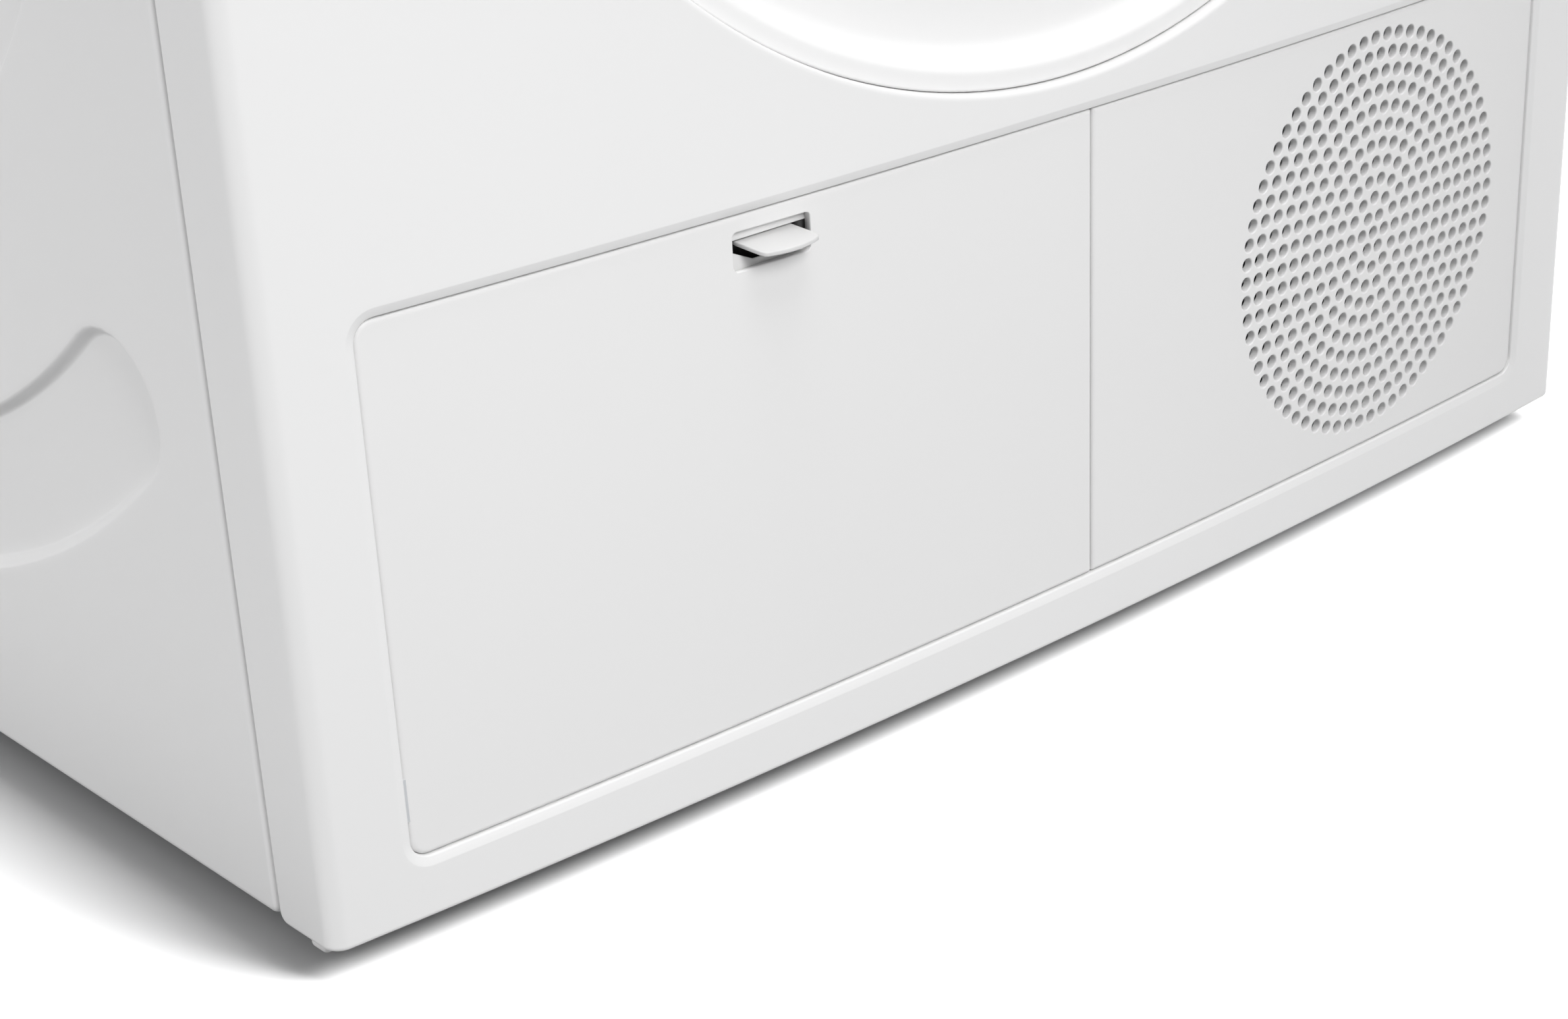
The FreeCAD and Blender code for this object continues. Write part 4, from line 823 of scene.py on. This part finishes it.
def side_skin(side, name, node):
    """A side panel with its embossed disc between two arc-shaped slots. side is -1 left and 1 right."""
    skin = Skin()

    def place(u, v, depth=0.0):
        return (side * (HALF - depth), u, v)

    columns = steps(side_low.y, side_high.y, SIDE_SPACING)
    rows = steps(side_low.z, side_high.z, SIDE_SPACING)
    lattice = grid(columns, rows)
    outline = frame_loop(side_low.y, side_high.y, side_low.z, side_high.z, (3.5, 3.5, 1.2, 1.2), columns, rows)
    profile = fillet(2.4, 8.0)
    rim(skin, place, outline, profile, -1)
    shapes = [circle_loop(EMBOSS["y"], EMBOSS["z"], EMBOSS["disc"], 200), arc_loop(-90), arc_loop(90)]
    steps_profile = emboss_profile()
    starts = []
    for shape in shapes:
        rim(skin, place, shape, steps_profile, 1)
        starts.append(shape(steps_profile[0][0]))
        foot = shape(steps_profile[-1][0])
        fill(skin, lambda u, v: place(u, v, EMBOSS_DEPTH), foot, [], lattice, SIDE_CLEAR)
    fill(skin, place, outline(-profile[0][0]), starts, lattice, SIDE_CLEAR)
    item = skin.object(name, outward=(side, 0, 0), thickness=0.8)
    return piece(item, "cabinet", "white_steel", node)


side_skin(-1, "left_side_skin", "left_side_panel")
side_skin(1, "right_side_skin", "right_side_panel")


# ---------------------------------------------------------------- door

DISH = [
    # distance in from the door's edge, depth below the bowed front
    (0.0, 3.8), (4.8, 3.8), (5.8, 3.95), (6.6, 4.4), (7.6, 5.4), (9.0, 7.1), (10.5, 8.9), (11.8, 10.3),
    (13.0, 11.3), (14.5, 12.05), (17.0, 12.65), (20.0, 13.1), (24.0, 13.5), (28.0, 13.72), (34.0, 13.8),
]
DISH_INNER, DISH_FLOOR = DISH[-1]
DISH_STEPS = 44
ANGULAR_STEPS = 240
DOOR_RIM = 1.0       # the radius of the door's edge
RIM_STEPS = 5
DOOR_SPACING = 12.0


def smooth_dish(inset):
    """The door's depth at a distance in from its edge, eased between the listed places."""
    if inset >= DISH_INNER:
        return DISH_FLOOR
    for (a, da), (b, db) in zip(DISH, DISH[1:]):
        if inset <= b:
            share = (inset - a) / (b - a)
            before = DISH[max(DISH.index((a, da)) - 1, 0)]
            after = DISH[min(DISH.index((b, db)) + 1, len(DISH) - 1)]
            slope_a = (db - before[1]) / max(b - before[0], 1e-6)
            slope_b = (after[1] - da) / max(after[0] - a, 1e-6)
            t2, t3 = share**2, share**3
            width = b - a
            return ((2 * t3 - 3 * t2 + 1) * da + (t3 - 2 * t2 + share) * width * slope_a
                    + (3 * t2 - 2 * t3) * db + (t3 - t2) * width * slope_b)
    return DISH_FLOOR


GRIP_ARC = 219.0     # the radius along which the door's unrolled ring keeps true lengths
RADIAL_STEP = 2 * math.pi * GRIP_ARC / ANGULAR_STEPS
RING_START = DOOR_RIM + 0.4
INSETS = [RING_START + (DISH_INNER - RING_START) * k / DISH_STEPS for k in range(DISH_STEPS + 1)]


def ring_inset(a):
    """The distance in from the door's edge at a place across the unrolled ring."""
    position = min(max(a / RADIAL_STEP, 0.0), DISH_STEPS)
    low = min(int(position), DISH_STEPS - 1)
    return INSETS[low] + (INSETS[low + 1] - INSETS[low]) * (position - low)


def ring_across(inset):
    """The place across the unrolled ring at a distance in from the door's edge."""
    return (inset - INSETS[0]) / (INSETS[-1] - INSETS[0]) * DISH_STEPS * RADIAL_STEP


def door_point(inset, along, depth=0.0, back=None):
    """A point of the door's face moved back by depth, or at a set distance back."""
    radius = DOOR_RADIUS - inset
    angle = math.pi + along / GRIP_ARC
    x = radius * math.cos(angle)
    z = DOOR_HEIGHT + radius * math.sin(angle)
    y = FRONT + bow(x) + smooth_dish(inset) + depth if back is None else back
    return (x, y, z)


def door_place(a, b, depth=0.0):
    return door_point(ring_inset(a), b, depth)


GRIP = {"near": 10.5, "far": 29.0, "half": 42.0, "back": -272.0}
grip_columns = [RADIAL_STEP * k for k in range(DISH_STEPS + 1)]
grip_rows = [(-0.5 + k / ANGULAR_STEPS) * 2 * math.pi * GRIP_ARC for k in range(ANGULAR_STEPS + 1)]


def grip_loop(grow):
    """The grip pocket's outline in the unrolled ring, from one in true lengths."""
    true = frame_loop(GRIP["near"], GRIP["far"], -GRIP["half"], GRIP["half"], (5.0,) * 4,
                      INSETS, grip_rows, arc=6)(grow)
    return [(ring_across(u), v) for u, v in true]


def door_skin():
    """The door's dished front with its grip pocket: an unrolled ring, its edge and a floor in the middle."""
    skin = Skin()
    low, high = grip_rows[0], grip_rows[-1]
    outer = [(0.0, v) for v in grip_rows] + [(u, high) for u in grip_columns[1:-1]]
    outer += [(grip_columns[-1], v) for v in reversed(grip_rows)]
    outer += [(u, low) for u in reversed(grip_columns[1:-1])]
    edge = fillet(0.5, 0.5, segments=4, slack=0.3)
    loops = [[door_place(u, v, depth) for u, v in grip_loop(inset)] for inset, depth in edge]
    for shrink, back in ((0.0, GRIP["back"] - 2.0), (-0.6, GRIP["back"] - 0.6), (-2.0, GRIP["back"])):
        loops.append([door_point(ring_inset(u), v, back=back) for u, v in grip_loop(shrink)])
    skin.bands(loops)
    fill(skin, lambda u, v: door_point(ring_inset(u), v, back=GRIP["back"]), grip_loop(-2.0), [],
         grid(grip_columns, grip_rows), 3.0)
    fill(skin, door_place, outer, [grip_loop(edge[0][0])], grid(grip_columns, grip_rows), 1.2)

    def ring_points(inset, depth=0.0, back=None):
        return [door_point(inset, v, depth, back) for v in grip_rows[:-1]]

    rounded = fillet(DOOR_RIM, 0.0, segments=RIM_STEPS)[1:]
    loops = [ring_points(INSETS[0])] + [ring_points(inset, depth) for inset, depth in rounded]
    back = door_high.y
    loops += [ring_points(0.0, back=back - 1.5), ring_points(0.3, back=back - 0.5), ring_points(1.0, back=back)]
    skin.bands(loops)
    middle = circle_loop(0, DOOR_HEIGHT, DOOR_RADIUS - DISH_INNER, ANGULAR_STEPS)(0)
    even = steps(-210, 210, DOOR_SPACING)
    fill(skin, lambda u, v: (u, FRONT + bow(u) + DISH_FLOOR, v), middle, [],
         [(u, DOOR_HEIGHT + v) for u in even for v in even], 5.0)
    return skin.object("door_skin", outward=(0, -1, 0), thickness=1.2)


piece(door_skin(), "door", "white_steel", "door_outer_panel")


# ---------------------------------------------------------------- control panel and water tank

TANK_GAP = 0.7
WINDOW_GAP = 0.2
BUTTON_GAP = 0.6
TANK_GRIP = {"left": -230, "right": -158, "bottom": 728, "top": 752, "depth": 10.0}


def control_holes():
    """Outlines and edge profiles of the openings in the control panel."""
    drawer = frame_loop(
        tank_low.x - TANK_GAP, tank_high.x + TANK_GAP, tank_low.z - TANK_GAP, tank_high.z + TANK_GAP,
        (4.5,) * 4, steps(-270, -110, 14.0), steps(726, 800, 12.0),
    )
    window = frame_loop(
        window_low.x - WINDOW_GAP, window_high.x + WINDOW_GAP, window_low.z - WINDOW_GAP,
        window_high.z + WINDOW_GAP, (2.5,) * 4, steps(70, 190, 12.0), steps(744, 786, 10.0),
    )
    holes = [(drawer, fillet(0.8, 7.0)), (window, fillet(0.5, 5.0, segments=4)),
             (circle_loop(0, KNOB_HEIGHT, 12.0, 40), fillet(0.5, 4.0, segments=3))]
    for name in ("power_button", "start_button"):
        low, high = span(name)
        reach = (high.x - low.x) / 2
        holes.append((circle_loop((low.x + high.x) / 2, KNOB_HEIGHT, reach + BUTTON_GAP, 48),
                      fillet(0.5, 4.0, segments=4)))
    return holes


control_skin = wrapped_sheet(
    "control_panel_skin", control_low.z, control_high.z, corner=1.5, holes=control_holes(),
    thickness=1.2, depth=5.5,
)
piece(control_skin, "cabinet", "white_plastic", "control_panel")


def drawer_skin():
    """The water tank's bowed front with its finger recess."""
    skin = Skin()
    columns = steps(tank_low.x, tank_high.x, 10.0)
    rows = steps(tank_low.z, tank_high.z, 8.0)
    outline = frame_loop(tank_low.x, tank_high.x, tank_low.z, tank_high.z, (4.0,) * 4, columns, rows)
    profile = fillet(1.0, 9.0)
    rim(skin, flat_place, outline, profile, -1)
    grip = frame_loop(TANK_GRIP["left"], TANK_GRIP["right"], TANK_GRIP["bottom"], TANK_GRIP["top"], (6.0,) * 4,
                      steps(-220, -170, 8.0), steps(735, 745, 5.0))
    grip_profile = fillet(1.2, 1.2) + [(-0.2, 8.0), (-1.0, 9.4), (-2.6, TANK_GRIP["depth"])]
    rim(skin, flat_place, grip, grip_profile, 1)
    fill(skin, lambda u, v: flat_place(u, v, TANK_GRIP["depth"]), grip(grip_profile[-1][0]), [],
         grid(columns, rows), 3.0)
    fill(skin, flat_place, outline(-profile[0][0]), [grip(grip_profile[0][0])], grid(columns, rows), 3.0)
    return skin.object("water_tank_drawer_skin", outward=(0, -1, 0), thickness=1.0)


piece(drawer_skin(), "tank_drawer", "white_plastic", "water_tank_front")


# ---------------------------------------------------------------- printed marks

MARKS = 16
MARK_START = 3.4                   # from the knob's edge to the marks
TOP_MARK, OTHER_MARK = (3.6, 0.9), (2.2, 0.55)    # length, width
BRICK = [(0, 1, 2, 3), (7, 6, 5, 4), (0, 4, 5, 1), (1, 5, 6, 2), (2, 6, 7, 3), (3, 7, 4, 0)]


def marks():
    """Printed marks round the program knob: short strokes, the top one longer."""
    near = (knob_high.x - knob_low.x) / 2 + MARK_START
    skin = Skin()
    for k in range(MARKS):
        angle = math.radians(90 + 360 / MARKS * k)
        length, width = TOP_MARK if k == 0 else OTHER_MARK
        far = near + length
        across = Vector((-math.sin(angle), math.cos(angle))) * width / 2
        along = Vector((math.cos(angle), math.sin(angle)))
        corners = [along * near - across, along * far - across, along * far + across, along * near + across]
        start = len(skin.points)
        for depth in (-0.05, 0.3):
            skin.add([(c.x, FRONT + bow(c.x) + depth, KNOB_HEIGHT + c.y) for c in corners])
        skin.faces += [tuple(start + i for i in face) for face in BRICK]
    return skin.object("program_marks", sharp=30)


piece(marks(), "cabinet", "grey_plastic")


# ---------------------------------------------------------------- the CAD nodes that stay

slot_of = {}
for entry in frame["record"].get("materials", []):
    for node in entry.get("nodes", []):
        slot_of[node] = entry["slot"]
for name, item in frame["nodes"].items():
    if not item.hide_render:
        slot = slot_of.get(name)
        if slot in FINISHES:
            paint(item, slot)


# ---------------------------------------------------------------- lugs under the front panel's corners

LUG_ACROSS, LUG_DEPTH, LUG_HEIGHT = (287.5, 296.0), (-279.0, -271.0), (7.0, 16.0)

for side, name in ((-1, "left_corner_lug"), (1, "right_corner_lug")):
    across = tuple(sorted(side * place for place in LUG_ACROSS))
    piece(rounded_block(name, across, LUG_DEPTH, LUG_HEIGHT, 1.6, segments=4), "cabinet", "white_plastic")


# ---------------------------------------------------------------- floor, light and camera

FLOOR_REACH = 9000


def stage_floor():
    """A plain pale floor that throws no light back at the machine."""
    skin = Skin()
    skin.points = [(FLOOR_REACH * x, FLOOR_REACH * y, 0) for x, y in ((-1, -1), (1, -1), (1, 1), (-1, 1))]
    skin.faces = [(0, 1, 2, 3)]
    item = skin.object("floor", outward=(0, 0, 1))
    item.data.materials.append(finish_of("pale_floor", grey(0.93), 0.9, spread=0.002, grain=3.0, bump=0.0,
                                         patch=0.6, specular=0.0, roughness_spread=0.02))
    item.visible_diffuse = False
    return item


floor = stage_floor()


def collect(name, items):
    """A collection of the items, for light linking."""
    collection = bpy.data.collections.new(name)
    for item in items:
        collection.objects.link(item)
    return collection


def area_light(name, place, target, size, power, spread, receivers, blockers=None):
    """A square soft box that lights only the receivers; with blockers, only they cast its shadows."""
    light = bpy.data.lights.new(name, "AREA")
    light.shape = "SQUARE"
    light.size = size
    light.energy = power
    light.spread = math.radians(spread)
    item = bpy.data.objects.new(name, light)
    item.location = place
    item.rotation_mode = "QUATERNION"
    item.rotation_quaternion = (Vector(target) - Vector(place)).to_track_quat("-Z", "Y")
    bpy.context.scene.collection.objects.link(item)
    item.light_linking.receiver_collection = collect(name + "_receivers", receivers)
    if blockers is not None:
        item.light_linking.blocker_collection = collect(name + "_blockers", blockers)


SKY = (0.985, 0.99, 1.0, 1.0)
SKY_STRENGTH = 0.31
# The machine is lit by a key from the front, a fill from its left and a broad light overhead
machine = [item for item in bpy.data.objects if item.type == "MESH" and item is not floor]
world = bpy.data.worlds.new("studio")
bpy.context.scene.world = world
world.use_nodes = True
world.node_tree.nodes["Background"].inputs["Color"].default_value = SKY
world.node_tree.nodes["Background"].inputs["Strength"].default_value = SKY_STRENGTH
area_light("key", (-0.4, -2.0, 1.6), (-0.25, -0.3, 0.3), 1.0, 3.9, 50, machine)
area_light("left_fill", (-2.0, 0.6, 1.2), (-0.3, 0.0, 0.2), 0.8, 18.5, 180, machine)
area_light("top_light", (-0.2, -1.1, 3.2), (-0.15, -0.35, 0.2), 1.4, 14.0, 120, machine)
# The floor has its own: one above for the soft shadow on the left, one in front that reaches under the edge
upright = [item for item in machine if "knob" not in item.name]
area_light("floor_above", (-0.12, -0.37, 5.0), (-0.12, -0.37, 0.0), 0.32, 330, 180, [floor], upright)
area_light("floor_front", (1.3, -2.4, 2.6), (0.0, -0.3, 0.0), 2.0, 230, 180, [floor])

SENSOR, LENS = 36.0, 69.78
SHIFT_X, SHIFT_Y = -0.1924, 0.0694
CAMERA_PLACE = (-0.68686, -0.95779, 0.49022)
DOWN, HEADING = math.radians(26.41), math.radians(46.39)

camera_data = bpy.data.cameras.new("camera")
camera_data.sensor_width = SENSOR
camera_data.lens = LENS
camera_data.shift_x = SHIFT_X
camera_data.shift_y = SHIFT_Y
camera = bpy.data.objects.new("camera", camera_data)
bpy.context.scene.collection.objects.link(camera)
camera.location = CAMERA_PLACE
level = math.cos(DOWN)
direction = Vector((math.sin(HEADING) * level, math.cos(HEADING) * level, -math.sin(DOWN)))
camera.rotation_mode = "QUATERNION"
camera.rotation_quaternion = direction.to_track_quat("-Z", "Y")
bpy.context.scene.camera = camera
bpy.context.scene.view_settings.view_transform = "Standard"
